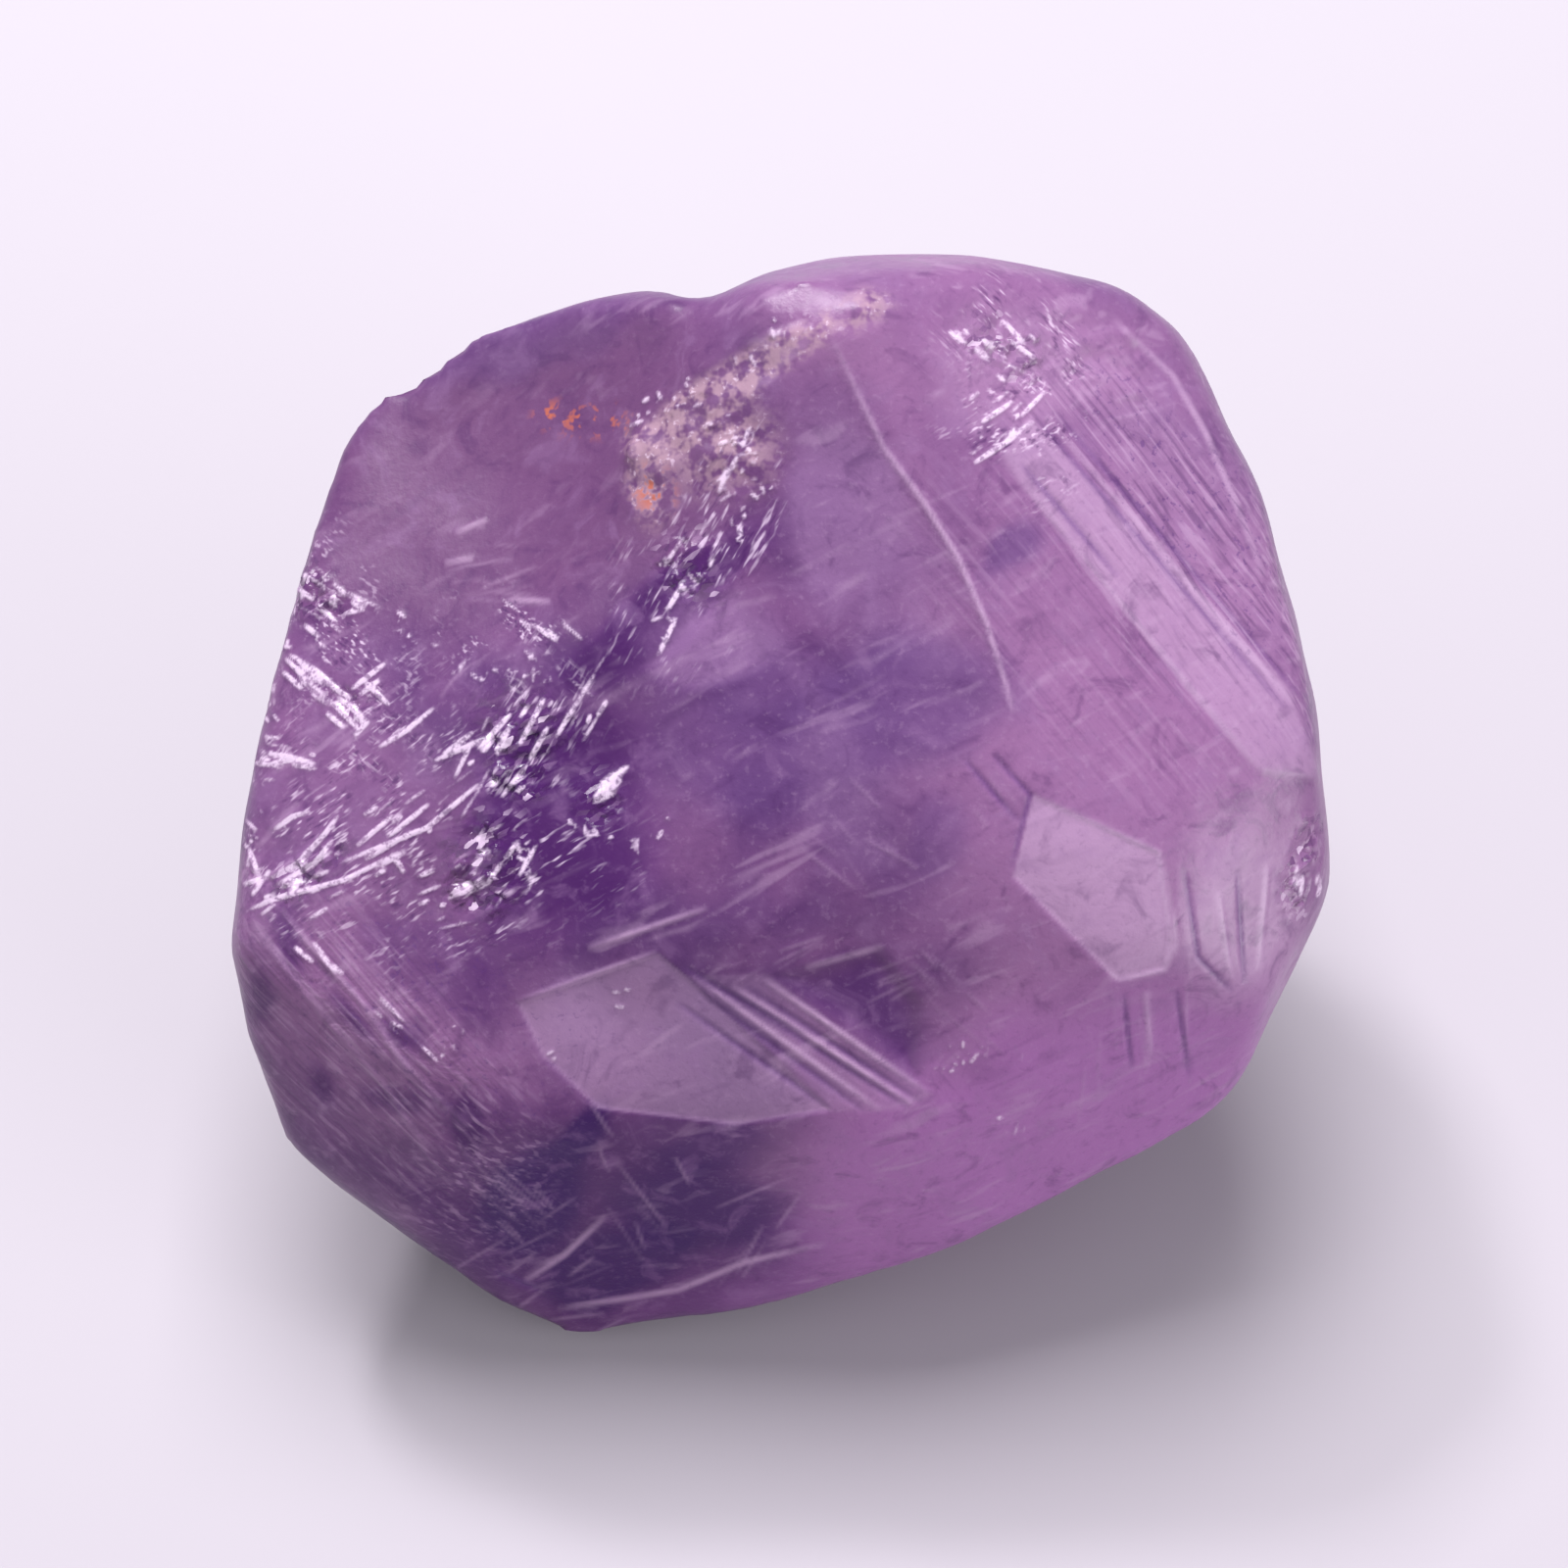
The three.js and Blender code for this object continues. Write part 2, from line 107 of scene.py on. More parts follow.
class Surface:
    """Each point of the stone: where it lies and faces, in the broad side's frame, in millimetres."""

    def __init__(self, mesh):
        count = len(mesh.vertices)
        points = np.empty(count * 3, np.float32)
        mesh.vertices.foreach_get("co", points)
        normals = np.empty(count * 3, np.float32)
        mesh.vertex_normals.foreach_get("vector", normals)
        self.points = points.reshape(-1, 3).astype(float)
        self.normals = normals.reshape(-1, 3).astype(float)
        self.place = to_side(self.points - MIDDLE) / MM
        larger = EYE / (EYE + AIM[2] - self.place[:, 2])
        self.x = AIM[0] + (self.place[:, 0] - AIM[0]) * larger
        self.y = AIM[1] + (self.place[:, 1] - AIM[1]) * larger
        self.facing = to_side(self.normals)[:, 2]
        self.shown = smooth_step(0.1, 0.4, self.facing)
        self.hidden = smooth_step(-0.1, -0.5, self.facing)
        self.stray = np.stack([self.chance(2.6, 40), self.chance(2.6, 50)]) - 0.5

    def chance(self, size, shift=0.0):
        """Smooth noise from 0 to 1 with lumps of the size."""
        offset = Vector((3.1 + shift, 7.7 - shift, 1.9 + shift / 2))
        return np.array([noise.noise(Vector(p) / size + offset) for p in self.place]) * 0.5 + 0.5

    def oval(self, spot):
        """One soft oval, on the broad side only unless it goes all round: 1 inside, 0 outside."""
        x = self.x - spot.at[0] + self.stray[0] * spot.ragged
        y = self.y - spot.at[1] + self.stray[1] * spot.ragged
        c, s = math.cos(math.radians(spot.turn)), math.sin(math.radians(spot.turn))
        far = np.hypot((x * c + y * s) / spot.reach[0], (y * c - x * s) / spot.reach[1])
        inside = 1 - smooth_step(1 - spot.soft, 1 + spot.soft, far)
        return inside if spot.all_round else inside * self.shown

    def ovals(self, spots):
        """Soft ovals added up, each by its share."""
        return sum(self.oval(spot) * spot.share for spot in spots)

    def patch(self, corners, soft=0.1, ragged=0.0):
        """The inside of a convex outline, given clockwise, on the broad side."""
        x = self.x + self.stray[0] * ragged
        y = self.y + self.stray[1] * ragged
        inside = np.full(len(x), 1e3)
        for (x0, y0), (x1, y1) in zip(corners, corners[1:] + corners[:1]):
            length = math.hypot(x1 - x0, y1 - y0)
            inside = np.minimum(inside, ((y1 - y0) * (x - x0) - (x1 - x0) * (y - y0)) / length)
        return smooth_step(-soft, soft, inside) * self.shown

    def line(self, route, width, taper=True):
        """A line on the broad side, full along its middle and fading to nothing at its sides and ends."""
        best = np.zeros(len(self.x))
        spans = list(zip(route, route[1:]))
        for number, ((x0, y0), (x1, y1)) in enumerate(spans):
            dx, dy = x1 - x0, y1 - y0
            t = np.clip(((self.x - x0) * dx + (self.y - y0) * dy) / (dx * dx + dy * dy), 0, 1)
            far = np.hypot(self.x - x0 - t * dx, self.y - y0 - t * dy)
            along = (number + t) / len(spans)
            ends = np.sqrt(np.clip(4 * along * (1 - along), 0, 1)) if taper else 1
            best = np.maximum(best, (1 - smooth_step(0, width, far)) * ends)
        return best * self.shown

    def lines(self, routes, width, taper=True):
        """How near each point is to the nearest of some lines."""
        return np.max([self.line(route, width, taper) for route in routes], axis=0)


# The stone's mesh

def stone_from(node, name):
    """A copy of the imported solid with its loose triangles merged."""
    stone = bpy.data.objects.new(name, node.data.copy())
    stone.data.name = name
    stone.data.materials.clear()
    bpy.context.scene.collection.objects.link(stone)
    bm = bmesh.new()
    bm.from_mesh(stone.data)
    bmesh.ops.remove_doubles(bm, verts=bm.verts, dist=WELD)
    bm.to_mesh(stone.data)
    bm.free()
    return stone


def even_mesh(stone):
    """Small even faces all over, so that the surface can be worn and carved."""
    remesh = stone.modifiers.new("even", "REMESH")
    remesh.mode = "VOXEL"
    remesh.voxel_size = FACE
    made = bpy.data.meshes.new_from_object(stone.evaluated_get(bpy.context.evaluated_depsgraph_get()))
    stone.modifiers.clear()
    stone.data = made
    made.name = stone.name


def smoothed(mesh, passes, kept=0.0):
    """Where the mesh's points lie after some passes of smoothing, each partly given back if wished."""
    bm = bmesh.new()
    bm.from_mesh(mesh)
    axes = {"use_axis_x": True, "use_axis_y": True, "use_axis_z": True}
    for _ in range(passes):
        bmesh.ops.smooth_vert(bm, verts=bm.verts, factor=0.5, **axes)
        if kept:
            bmesh.ops.smooth_vert(bm, verts=bm.verts, factor=-kept, **axes)
    points = np.array([v.co[:] for v in bm.verts])
    bm.free()
    return points


def set_points(mesh, points):
    mesh.vertices.foreach_set("co", points.astype(np.float32).ravel())
    mesh.update()


# The toe, whose edges stay keen, the part of the broad side that is worn round, and how far from the crest
# and how much the wear spares it
TOE = Spot((-3.4, -18.6), (8.6, 3.0), 10, soft=0.4, ragged=0, all_round=True)
WORN = Spot((0, 0), (17.5, 17.0), soft=0.12, ragged=0)
CREST_REACH = 1.6
CREST_SPARED = 0.7


def wear(stone):
    """Eases every edge a little, and rounds the broad side inside its rim."""
    settled = smoothed(stone.data, HIDDEN_PASSES)
    eased = smoothed(stone.data, EASED_PASSES)
    rounded = smoothed(stone.data, ROUND_PASSES)
    keen = smoothed(stone.data, KEEN_PASSES, KEPT)
    s = Surface(stone.data)
    toe = s.oval(TOE)[:, None]
    front = smooth_step(-0.5, 0.0, s.facing)[:, None]
    eased = settled * (1 - front) + eased * front
    crest = s.line(CREST, CREST_REACH, taper=False)
    share = np.clip(s.oval(WORN) - CREST_SPARED * crest, 0, 1)[:, None]
    worn = eased * (1 - share) + rounded * share
    set_points(stone.data, worn * (1 - toe) + keen * toe)


def halve(stone, chosen):
    """Halves the faces whose corners are all chosen."""
    bm = bmesh.new()
    bm.from_mesh(stone.data)
    bm.verts.ensure_lookup_table()
    edges = [e for e in bm.edges if all(chosen[v.index] for v in e.verts)]
    bmesh.ops.subdivide_edges(bm, edges=edges, cuts=1, use_grid_fill=True)
    bm.to_mesh(stone.data)
    bm.free()
    set_points(stone.data, smoothed(stone.data, SETTLE_PASSES))


# How far a point has to belong to the broad side for its faces to be halved, how wide the stretch beside a
# line is where they are halved again, and how far a point has to be inside that stretch
BROAD_ENOUGH = 0.6
BESIDE_A_LINE = 0.36
NEAR_ENOUGH = 0.05


def refine(stone):
    """Finer faces on the broad side, and the finest where its edges, lines and splinters are."""
    halve(stone, Surface(stone.data).shown > BROAD_ENOUGH)
    s = Surface(stone.data)
    outlines = [shape + shape[:1] for shape in (PENTAGON, WINDOW, SLATS, DARK_CORNER, BAND)]
    small = [route for route, _ in splinters() + faint_lines()]
    near = s.lines([*outlines, CREST, *GROOVES, *LIGHT_LINES, *small], BESIDE_A_LINE, taper=False)
    halve(stone, near + s.patch(SLATS) > NEAR_ENOUGH)


# The forms of the broad side

# Shapes, each clockwise: the clear glint, a raised plate painted bright as a glint, the five sided face, the
# sunk window with its slats and dark corner, the striated band, the pale plate of the middle and the crust
# along the valley
CLEAR_GLINT = [(-6.9, -0.2), (-6.5, 0.7), (-5.6, 1.2), (-6.2, 0.0)]
PENTAGON = [(9.1, 0.1), (13.7, -2.0), (14.2, -5.4), (13.9, -6.3), (12.2, -6.7), (8.4, -2.9)]
WINDOW = [
    (-9.6, -7.5), (-4.5, -5.7), (-3.5, -6.5), (1.7, -11.3), (-1.7, -11.9), (-6.7, -11.3), (-8.7, -9.4),
]
SLATS = [(-3.4, -6.5), (-0.6, -6.4), (5.4, -10.9), (4.6, -11.4), (1.7, -11.4)]
DARK_CORNER = [(0.2, -6.6), (3.4, -5.6), (4.9, -7.6), (4.7, -9.9)]
BAND = [(8.0, 12.4), (9.0, 13.8), (18.5, 3.8), (19.6, 0.6), (17.4, 0.9), (14.7, 4.1)]
PALE_PLATE = [(-4.9, 4.8), (-3.0, 7.0), (-1.6, 7.4), (-0.6, 4.9), (-1.9, 4.2), (-4.0, 4.0)]
CRUST_RIDGE = [
    (-5.8, 13.2), (-5.0, 14.4), (-2.0, 15.9), (0.4, 17.8), (2.2, 18.4), (1.6, 16.6), (-0.8, 14.8),
    (-4.4, 12.2),
]

# The curved crest beside the flank
CREST = [(1.8, 16.7), (3.7, 12.7), (5.1, 10.8), (6.4, 8.7), (7.4, 6.4), (8.1, 4.2), (8.4, 3.0)]

# Straight grooves of the crystal
GROOVES = [
    [(9.2, 13.8), (18.3, 3.2)], [(9.9, 14.0), (18.8, 3.7)], [(8.6, 12.2), (12.2, 8.0)],
    [(-3.9, -7.4), (1.7, -11.3)], [(-2.2, -6.9), (4.6, -11.3)], [(-1.4, -6.8), (5.1, -11.1)],
    [(-3.1, -7.0), (3.0, -11.4)], [(-3.7, -6.1), (0.9, -8.7)], [(14.6, -2.6), (15.1, -5.8), (16.4, -7.1)],
    [(16.5, -2.6), (16.8, -6.8)], [(12.4, -7.1), (12.7, -9.9)], [(14.3, -6.9), (14.8, -10.2)],
    [(7.6, 1.6), (9.0, 0.1), (8.3, -2.6)], [(6.6, 1.4), (8.6, -0.9)], [(-10.5, -17.2), (-8.7, -17.9)],
]

# Thin raised ledges, painted pale along them as painted highlights
LIGHT_LINES = [
    [(-7.1, -5.5), (-2.7, -4.0)], [(-9.6, -7.4), (-4.5, -5.6)],
    [(-8.2, -18.6), (-3.8, -17.9), (-1.4, -16.9), (1.6, -16.2)], [(0.8, -6.2), (3.7, -5.4)],
    [(-1.9, -6.8), (4.8, -11.2)], [(-0.7, -6.6), (5.4, -10.8)], [(-2.8, -6.8), (3.6, -11.4)],
    [(12.0, 17.4), (14.2, 15.3), (15.4, 13.2), (16.6, 10.4), (17.5, 8.0)], [(9.5, 13.9), (18.5, 3.5)],
    PENTAGON[:5], [(7.9, 12.4), (14.7, 4.1), (17.3, 1.0)],
    [(-19.3, -4.5), (-17.0, -7.5), (-14.5, -10.4), (-12.9, -12.7)],
    [(-17.8, -4.8), (-15.4, -7.3), (-13.8, -9.6), (-11.4, -12.0)],
    [(-9.4, -17.6), (-7.9, -16.6), (-6.4, -15.2)], [(13.2, -7.0), (13.4, -9.4)],
    [(17.6, -2.4), (17.3, -6.4)], [(15.8, -3.4), (16.3, -6.6)], [(-11.9, 9.6), (-10.7, 10.1)],
    [(-12.3, 8.5), (-11.2, 8.7)], [(-10.0, 7.2), (-8.4, 7.1)],
]

# Soft pale wisps and dark veins of the middle: each with its width and its strength
WISPS = [
    ([(2.4, 11.8), (2.9, 9.3), (3.4, 6.0)], 0.35, 0.6), ([(0.4, 12.0), (1.1, 8.8), (1.9, 6.4)], 1.3, 0.6),
    ([(-0.9, 6.6), (0.6, 4.4), (1.6, 3.0)], 0.7, 0.4), ([(4.4, 2.6), (6.2, 1.7)], 0.3, 0.6),
]
VEINS = [
    ([(-5.0, 2.2), (-3.2, 3.5), (-0.9, 4.3)], 0.4, 0.8), ([(0.4, 6.3), (1.9, 5.0), (3.3, 3.3)], 0.5, 0.8),
    ([(5.2, 4.4), (6.6, 4.0), (7.8, 3.4)], 0.8, 0.7), ([(0.9, 2.9), (1.2, 0.8)], 0.9, 0.6),
    ([(3.2, 2.4), (5.4, 1.2)], 0.7, 0.7), ([(-0.4, 11.6), (-1.6, 9.4)], 0.8, 0.5),
]

# Splinters, placed one by one: each is carved as a small ridge and painted bright as a glint
MAIN_SPLINTERS = [
    [(-17.4, 6.3), (-16.8, 5.8)], [(-18.1, 5.1), (-17.0, 4.0)], [(-17.8, 5.2), (-16.6, 4.0)],
    [(-18.2, 4.6), (-17.4, 3.9)], [(-15.7, 3.9), (-14.4, 4.9)], [(-15.4, 3.7), (-14.6, 4.3)],
    [(-16.5, 3.6), (-15.3, 2.4)], [(-16.2, 3.7), (-15.0, 2.7)], [(-16.6, 3.1), (-15.9, 2.5)],
    [(-15.6, 2.2), (-15.0, 2.8)], [(-14.7, 1.8), (-13.7, 2.4), (-12.6, 3.3)], [(-12.7, 1.3), (-10.9, 2.1)],
    [(-12.4, 1.5), (-11.2, 2.4)], [(-11.1, 1.7), (-9.8, 3.1)], [(-9.6, 1.8), (-8.6, 3.7)],
    [(-9.2, 1.3), (-8.5, 2.6)], [(-10.4, 1.5), (-9.9, 2.6)], [(-18.9, 1.6), (-18.0, 1.5), (-16.9, 1.2)],
    [(-18.7, 1.2), (-17.6, 1.4)], [(-18.7, -3.0), (-17.6, -2.4), (-16.6, -1.3), (-16.1, -0.6)],
    [(-18.4, -3.2), (-17.0, -2.4), (-16.3, -1.5)], [(-15.5, -1.8), (-14.1, -0.6)],
    [(-14.4, -1.5), (-12.8, -0.2)], [(-16.1, -2.4), (-12.9, -1.1), (-10.9, 0.6)],
    [(-15.2, -2.3), (-13.4, -1.2)], [(-19.4, -4.1), (-18.5, -3.7), (-15.9, -3.0), (-13.5, -1.8)],
    [(-19.3, -3.6), (-18.6, -2.6)], [(-19.4, -1.8), (-19.0, -2.9)],
    [(-18.5, -1.2), (-17.8, -0.7), (-17.1, -0.5)], [(-14.2, -2.0), (-13.7, -2.8)],
    [(8.6, 13.2), (6.9, 12.1)], [(8.4, 14.4), (7.2, 13.6)],
]

# Families of the same: the middle, the reach along and across, the heading, and how many
SPLINTER_FAMILIES = [
    ((-17.4, -2.8), (2.0, 1.2), 30, 20), ((-14.0, -1.2), (2.8, 1.0), 34, 14),
    ((-16.6, 7.4), (1.6, 0.9), -34, 18), ((-15.8, 3.2), (1.3, 0.8), -38, 12),
    ((-17.4, 4.6), (1.1, 0.8), -40, 10), ((-9.6, 2.3), (2.2, 1.4), 60, 12),
    ((-10.2, 0.6), (1.0, 0.8), 40, 5), ((-10.4, -2.4), (1.0, 1.4), 60, 11),
    ((-11.8, -3.4), (1.3, 0.8), 24, 14), ((-7.0, 3.0), (0.8, 1.2), 60, 5),
    ((-9.0, 6.0), (2.2, 0.8), -36, 8), ((-18.3, 1.6), (1.0, 1.0), -8, 8),
    ((8.0, 14.0), (1.8, 1.6), 42, 10), ((7.6, 16.6), (1.6, 1.2), -40, 14),
    ((-3.6, 7.6), (2.0, 1.8), 58, 5), ((-1.8, 11.8), (1.8, 1.4), 70, 4),
    ((18.9, -2.8), (0.7, 1.6), 80, 10), ((-14.6, -7.6), (3.2, 1.0), -46, 8),
]
# The spans of the splinters' lengths and of the strength of their painted glint
SPLINTER_LENGTH = (0.25, 1.9)
SPLINTER_SHINE = (0.3, 1.0)

# Lines set with small beads that are painted bright as glints: how far apart the beads are, how they are
# turned against their line, how far they stray from it, and the spans of their lengths and their shine
BEADED_LINES = [
    [(-17.8, 8.4), (-16.0, 7.6), (-14.2, 6.4), (-13.1, 5.5), (-12.2, 5.1), (-10.7, 4.4), (-8.4, 4.6)],
    [(-17.7, 9.2), (-18.4, 5.0), (-19.2, -0.6), (-19.5, -3.2)], [(-17.4, 7.6), (-15.4, 6.6)],
    [(-3.4, 14.4), (-1.2, 12.6), (-2.6, 10.8)], [(-1.6, 13.0), (-0.6, 11.4), (-1.8, 9.6)],
    [(-2.4, 11.4), (-1.4, 10.2), (-2.8, 8.6)], [(-4.4, 8.6), (-3.2, 7.6), (-4.6, 6.6)],
    [(5.8, -9.8), (6.9, -9.2), (8.7, -9.3)], [(7.6, -11.8), (9.0, -12.0)], [(-13.6, -10.4), (-11.4, -8.4)],
    [(-5.4, 13.6), (-2.2, 15.8), (1.6, 17.8)],
    [(-8.3, -1.4), (-7.2, -1.0), (-6.0, -1.9), (-4.6, -1.1), (-4.4, -0.2)],
    [(-9.6, -1.2), (-9.2, -2.6), (-9.9, -3.9)], [(-8.3, -9.2), (-7.6, -10.1)],
    [(-6.6, -6.9), (-5.8, -7.2)],
]
BEADS_APART = 0.5
BEAD_TURNS = (0, 50, 90)
BEAD_STRAY = (0.5, 0.4)
BEAD_LENGTH = (0.1, 0.7)
BEAD_SHINE = (0.25, 0.8)

# Faint fine lines of the crystal in bundles: the middle, the reach, the heading, and how many
BUNDLES = [
    ((-8.2, -16.4), (3.0, 1.4), 31, 9), ((-5.0, -14.4), (2.6, 1.2), -62, 9),
    ((-0.8, -16.3), (2.2, 1.0), 56, 7), ((-4.5, -18.3), (4.0, 0.5), 8, 6),
    ((-16.0, -8.4), (7.0, 2.4), -50, 22), ((-12.2, -13.0), (6.0, 1.8), -46, 16),
    ((-9.6, -14.4), (3.0, 2.0), -44, 9), ((-4.2, -15.6), (4.0, 2.0), 20, 7),
    ((6.0, -6.6), (2.4, 1.2), -48, 8), ((4.0, -6.8), (2.2, 0.8), 20, 6), ((1.0, -5.2), (3.0, 0.8), 22, 6),
    ((12.6, -8.6), (1.8, 2.0), -84, 12), ((15.3, -5.2), (3.0, 1.4), -84, 10),
    ((11.6, 15.2), (2.6, 1.8), 10, 10), ((14.6, 10.4), (4.4, 1.6), -52, 9),
    ((7.8, 0.3), (2.2, 1.0), -52, 6), ((3.0, -2.4), (3.4, 1.8), -42, 8), ((-10.4, 7.8), (2.8, 1.4), 6, 9),
]
FAINT_LENGTH = (0.8, 3.6)
FAINT_STRENGTH = (0.2, 0.9)

# How far a line of a family may turn from the family's heading, in degrees
HEADING_STRAY = 6


def bundle(chance, middle, reach, heading, count, lengths, strengths):
    """Short lines that lie nearly along the heading, spread over the reach."""
    lines = []
    for _ in range(count):
        a = math.radians(heading + chance.gauss(0, HEADING_STRAY))
        p, q = chance.gauss(0, reach[0] / 2), chance.gauss(0, reach[1] / 2)
        half = chance.triangular(lengths[0], lengths[1], lengths[0]) / 2
        c, s = math.cos(a), math.sin(a)
        at = (middle[0] + p * c - q * s, middle[1] + p * s + q * c)
        ends = [(at[0] - half * c, at[1] - half * s), (at[0] + half * c, at[1] + half * s)]
        lines.append((ends, chance.uniform(*strengths)))
    return lines


def beads(chance, route):
    """Dots and dashes that lie across a line."""
    lines = []
    for start, end in zip(route, route[1:]):
        length = math.dist(start, end)
        heading = math.degrees(math.atan2(end[1] - start[1], end[0] - start[0]))
        for _ in range(round(length / BEADS_APART)):
            share = chance.random()
            at = (start[0] + share * (end[0] - start[0]), start[1] + share * (end[1] - start[1]))
            across = heading + chance.choice(BEAD_TURNS)
            count = chance.choice((1, 1, 3))
            lines += bundle(chance, at, BEAD_STRAY, across, count, BEAD_LENGTH, BEAD_SHINE)
    return lines


def splinters():
    """The short lines where the break ran from crystal to crystal: each with how strongly its painted glint
    shines.
    """
    lines = [(route, 1.0) for route in MAIN_SPLINTERS]
    for number, family in enumerate(SPLINTER_FAMILIES):
        lines += bundle(random.Random(100 + number), *family, SPLINTER_LENGTH, SPLINTER_SHINE)
    for number, route in enumerate(BEADED_LINES):
        lines += beads(random.Random(200 + number), route)
    return lines


def faint_lines():
    """The faint fine lines: each with its strength."""
    lines = []
    for number, family in enumerate(BUNDLES):
        lines += bundle(random.Random(300 + number), *family, FAINT_LENGTH, FAINT_STRENGTH)
    return lines


# Where plates of the break sparkle, by their lean and by painted glints: the middle, the reach and the turn
SPARKLING_SPOTS = [
    ((-9.4, 2.2), (1.4, 1.6), 60), ((-10.5, -2.4), (1.3, 1.5), 30), ((-6.4, 0.0), (1.0, 0.9), 0),
    ((-17.0, 7.6), (1.3, 0.8), -40), ((-15.8, 3.2), (1.2, 0.5), -30), ((-11.0, -3.2), (1.2, 0.6), 10),
    ((-3.2, 8.2), (0.8, 1.6), 24), ((8.0, 16.4), (1.5, 1.0), -30), ((18.9, -2.6), (0.6, 1.6), 0),
    ((-17.4, -2.8), (1.6, 0.6), 30), ((-9.9, 0.8), (1.0, 0.9), 0),
]

# Where fine streaks run, the bright ones painted as glints, each kind along its own heading
STREAKS = {
    "streaked": [
        ((-14.6, -0.6), (5.2, 4.4), 30), ((-10.2, -2.4), (4.2, 2.4), 16), ((8.6, 13.6), (2.0, 2.6), 42),
    ],
    "crossed": [
        ((-9.4, 2.2), (2.8, 2.0), 58), ((-2.8, 9.0), (4.6, 2.2), 56),
    ],
    "edged": [
        ((-16.4, 5.4), (2.0, 4.0), 20), ((8.4, 16.8), (2.6, 1.8), -38), ((-9.6, 5.6), (2.4, 1.4), -36),
    ],
}

# Small dark spots of the lower left, and how much they darken
DARK_SHARE = 0.85
DARK_SPOTS = [
    ((-14.0, -10.9), (1.3, 0.5), -5), ((-19.0, -7.1), (0.5, 1.1), 0), ((-16.8, -10.4), (0.4, 0.8), 10),
    ((-18.0, -5.2), (0.4, 1.3), 20), ((-13.7, -8.6), (0.9, 0.4), -40), ((-15.6, -8.0), (1.1, 0.3), -48),
    ((-11.6, -11.9), (0.5, 0.8), 0),
]

# Where the crust spreads beyond its ridge, and the rough patch at the upper right
CRUST_SPOTS = [((-2.2, 12.8), (1.7, 1.7), 60), ((-5.0, 11.8), (0.7, 1.5), 10), ((2.8, 17.5), (0.9, 0.7), 0)]
ROUGH_SPOT = Spot((11.4, 16.2), (2.4, 1.6), -30)

# Drifts of chance over the hidden sides: the size of their lumps, and a shift that sets them apart
DRIFTS = {"wide": (8, 11), "middling": (6, 31), "close": (5, 61), "torn": (5, 21)}


def broken_zone(s):
    """Where the break ran from crystal to crystal and left sparkling plates."""
    spots = s.ovals([Spot(*spot, soft=0.7) for spot in SPARKLING_SPOTS])
    return np.clip(spots + 0.7 * s.hidden * smooth_step(0.56, 0.68, s.chance(*DRIFTS["torn"])), 0, 1)


def crust_zone(s):
    """The crumbly crust along the valley, which ends sharply at the smooth shell beside it."""
    ridge = s.patch(CRUST_RIDGE, 0.25, 0.5)
    return np.clip(ridge + s.ovals([Spot(*spot, soft=0.7, ragged=1.4) for spot in CRUST_SPOTS]), 0, 1)


# Sets the leans of neighbouring plates apart
SHUFFLE = 7.31


def plates(s, size, stretch, heading):
    """Small flat plates that lean each its own way, longer along the heading: how far each stands out."""
    c, sn = math.cos(math.radians(heading)), math.sin(math.radians(heading))
    along, across = s.x * c + s.y * sn, s.y * c - s.x * sn
    spots = np.stack([along / (size * stretch), across / size, s.place[:, 2] / size], axis=1)
    heights = np.empty(len(spots))
    for i, spot in enumerate(spots):
        middle = noise.voronoi(Vector(spot))[1][0]
        leaning = noise.cell_vector(middle * SHUFFLE) - Vector((0.5, 0.5, 0.5))
        heights[i] = (Vector(spot) - middle).dot(leaning)
    return heights


# The blows that struck the hidden sides: where each fell, how far its rings spread and how far apart, how far
# the rings wander and how high they stand
BLOWS = [
    ((-12, 14, -16), 17, 2.2), ((14, 12, -10), 15, 1.7), ((19, -9, -8), 12, 1.5), ((-19, 2, -14), 13, 1.9),
    ((2, -14, -12), 14, 1.6), ((3, 20, -4), 9, 1.3),
]
RING_WANDER = 1.6
RING_HEIGHT = 0.24


def ripples(s):
    """Rings like those in a shell, round each place where a blow struck, each with one steep side."""
    rings = np.zeros(len(s.x))
    for at, spread, apart in BLOWS:
        far = np.linalg.norm(s.place - np.array(at), axis=1) + s.stray[0] * RING_WANDER
        turns = far / apart
        ring = (turns - np.floor(turns)) ** 2 * (1 - smooth_step(0.6 * spread, spread, far))
        rings = np.maximum(rings, ring)
    return rings * RING_HEIGHT


# The width of the weakest line as a share of its family's width, and how much a strong one gains
THINNEST = 0.7
THICKER = 0.4


def drawn(s, lines, width):
    """How near each point is to one of the lines, times that line's strength: a weak line is thin too."""
    near = [s.line(route, width * (THINNEST + THICKER * strength)) * strength for route, strength in lines]
    return np.max(near, axis=0)


# The carving, in millimetres. Undulation: the size of its lumps, its shift of chance and its height.
# Plates: their size, how drawn out they are, their heading and their height.
UNDULATION = [(7.0, 0, 0.5), (2.4, 3, 0.18)]
SPARKLING_PLATES = [(1.2, 2.2, SPLINTERS, 0.3), (0.6, 1.4, SPLINTERS, 0.35)]
HIDDEN_PLATES = [(2.6, 1.6, 60, 0.9)]
CRUST_LUMPS = [(1.1, 5, 0.4)]
CRUST_PLATES = [(0.6, 1.3, 60, 0.15)]
ROUGH_LUMPS = [(0.8, 15, 0.3)]

# How far each shape stands out, or lies in where it is less than nothing, and how soft its edge is
SHAPE_RELIEF = [
    (PENTAGON, -0.06, 0.12), (PALE_PLATE, -0.05, 0.15), (WINDOW, -0.07, 0.12), (DARK_CORNER, -0.2, 0.4),
    (BAND, 0.06, 0.16), (CLEAR_GLINT, 0.12, 0.15),
]

# The height of each kind of line, and how wide it is from its middle to its side
LINE_RELIEF = [([CREST], 0.07, 0.28), (GROOVES, -0.07, 0.17), (LIGHT_LINES, 0.05, 0.16)]
SPLINTER_RELIEF = (0.07, 0.14)
FAINT_RELIEF = (0.025, 0.13)


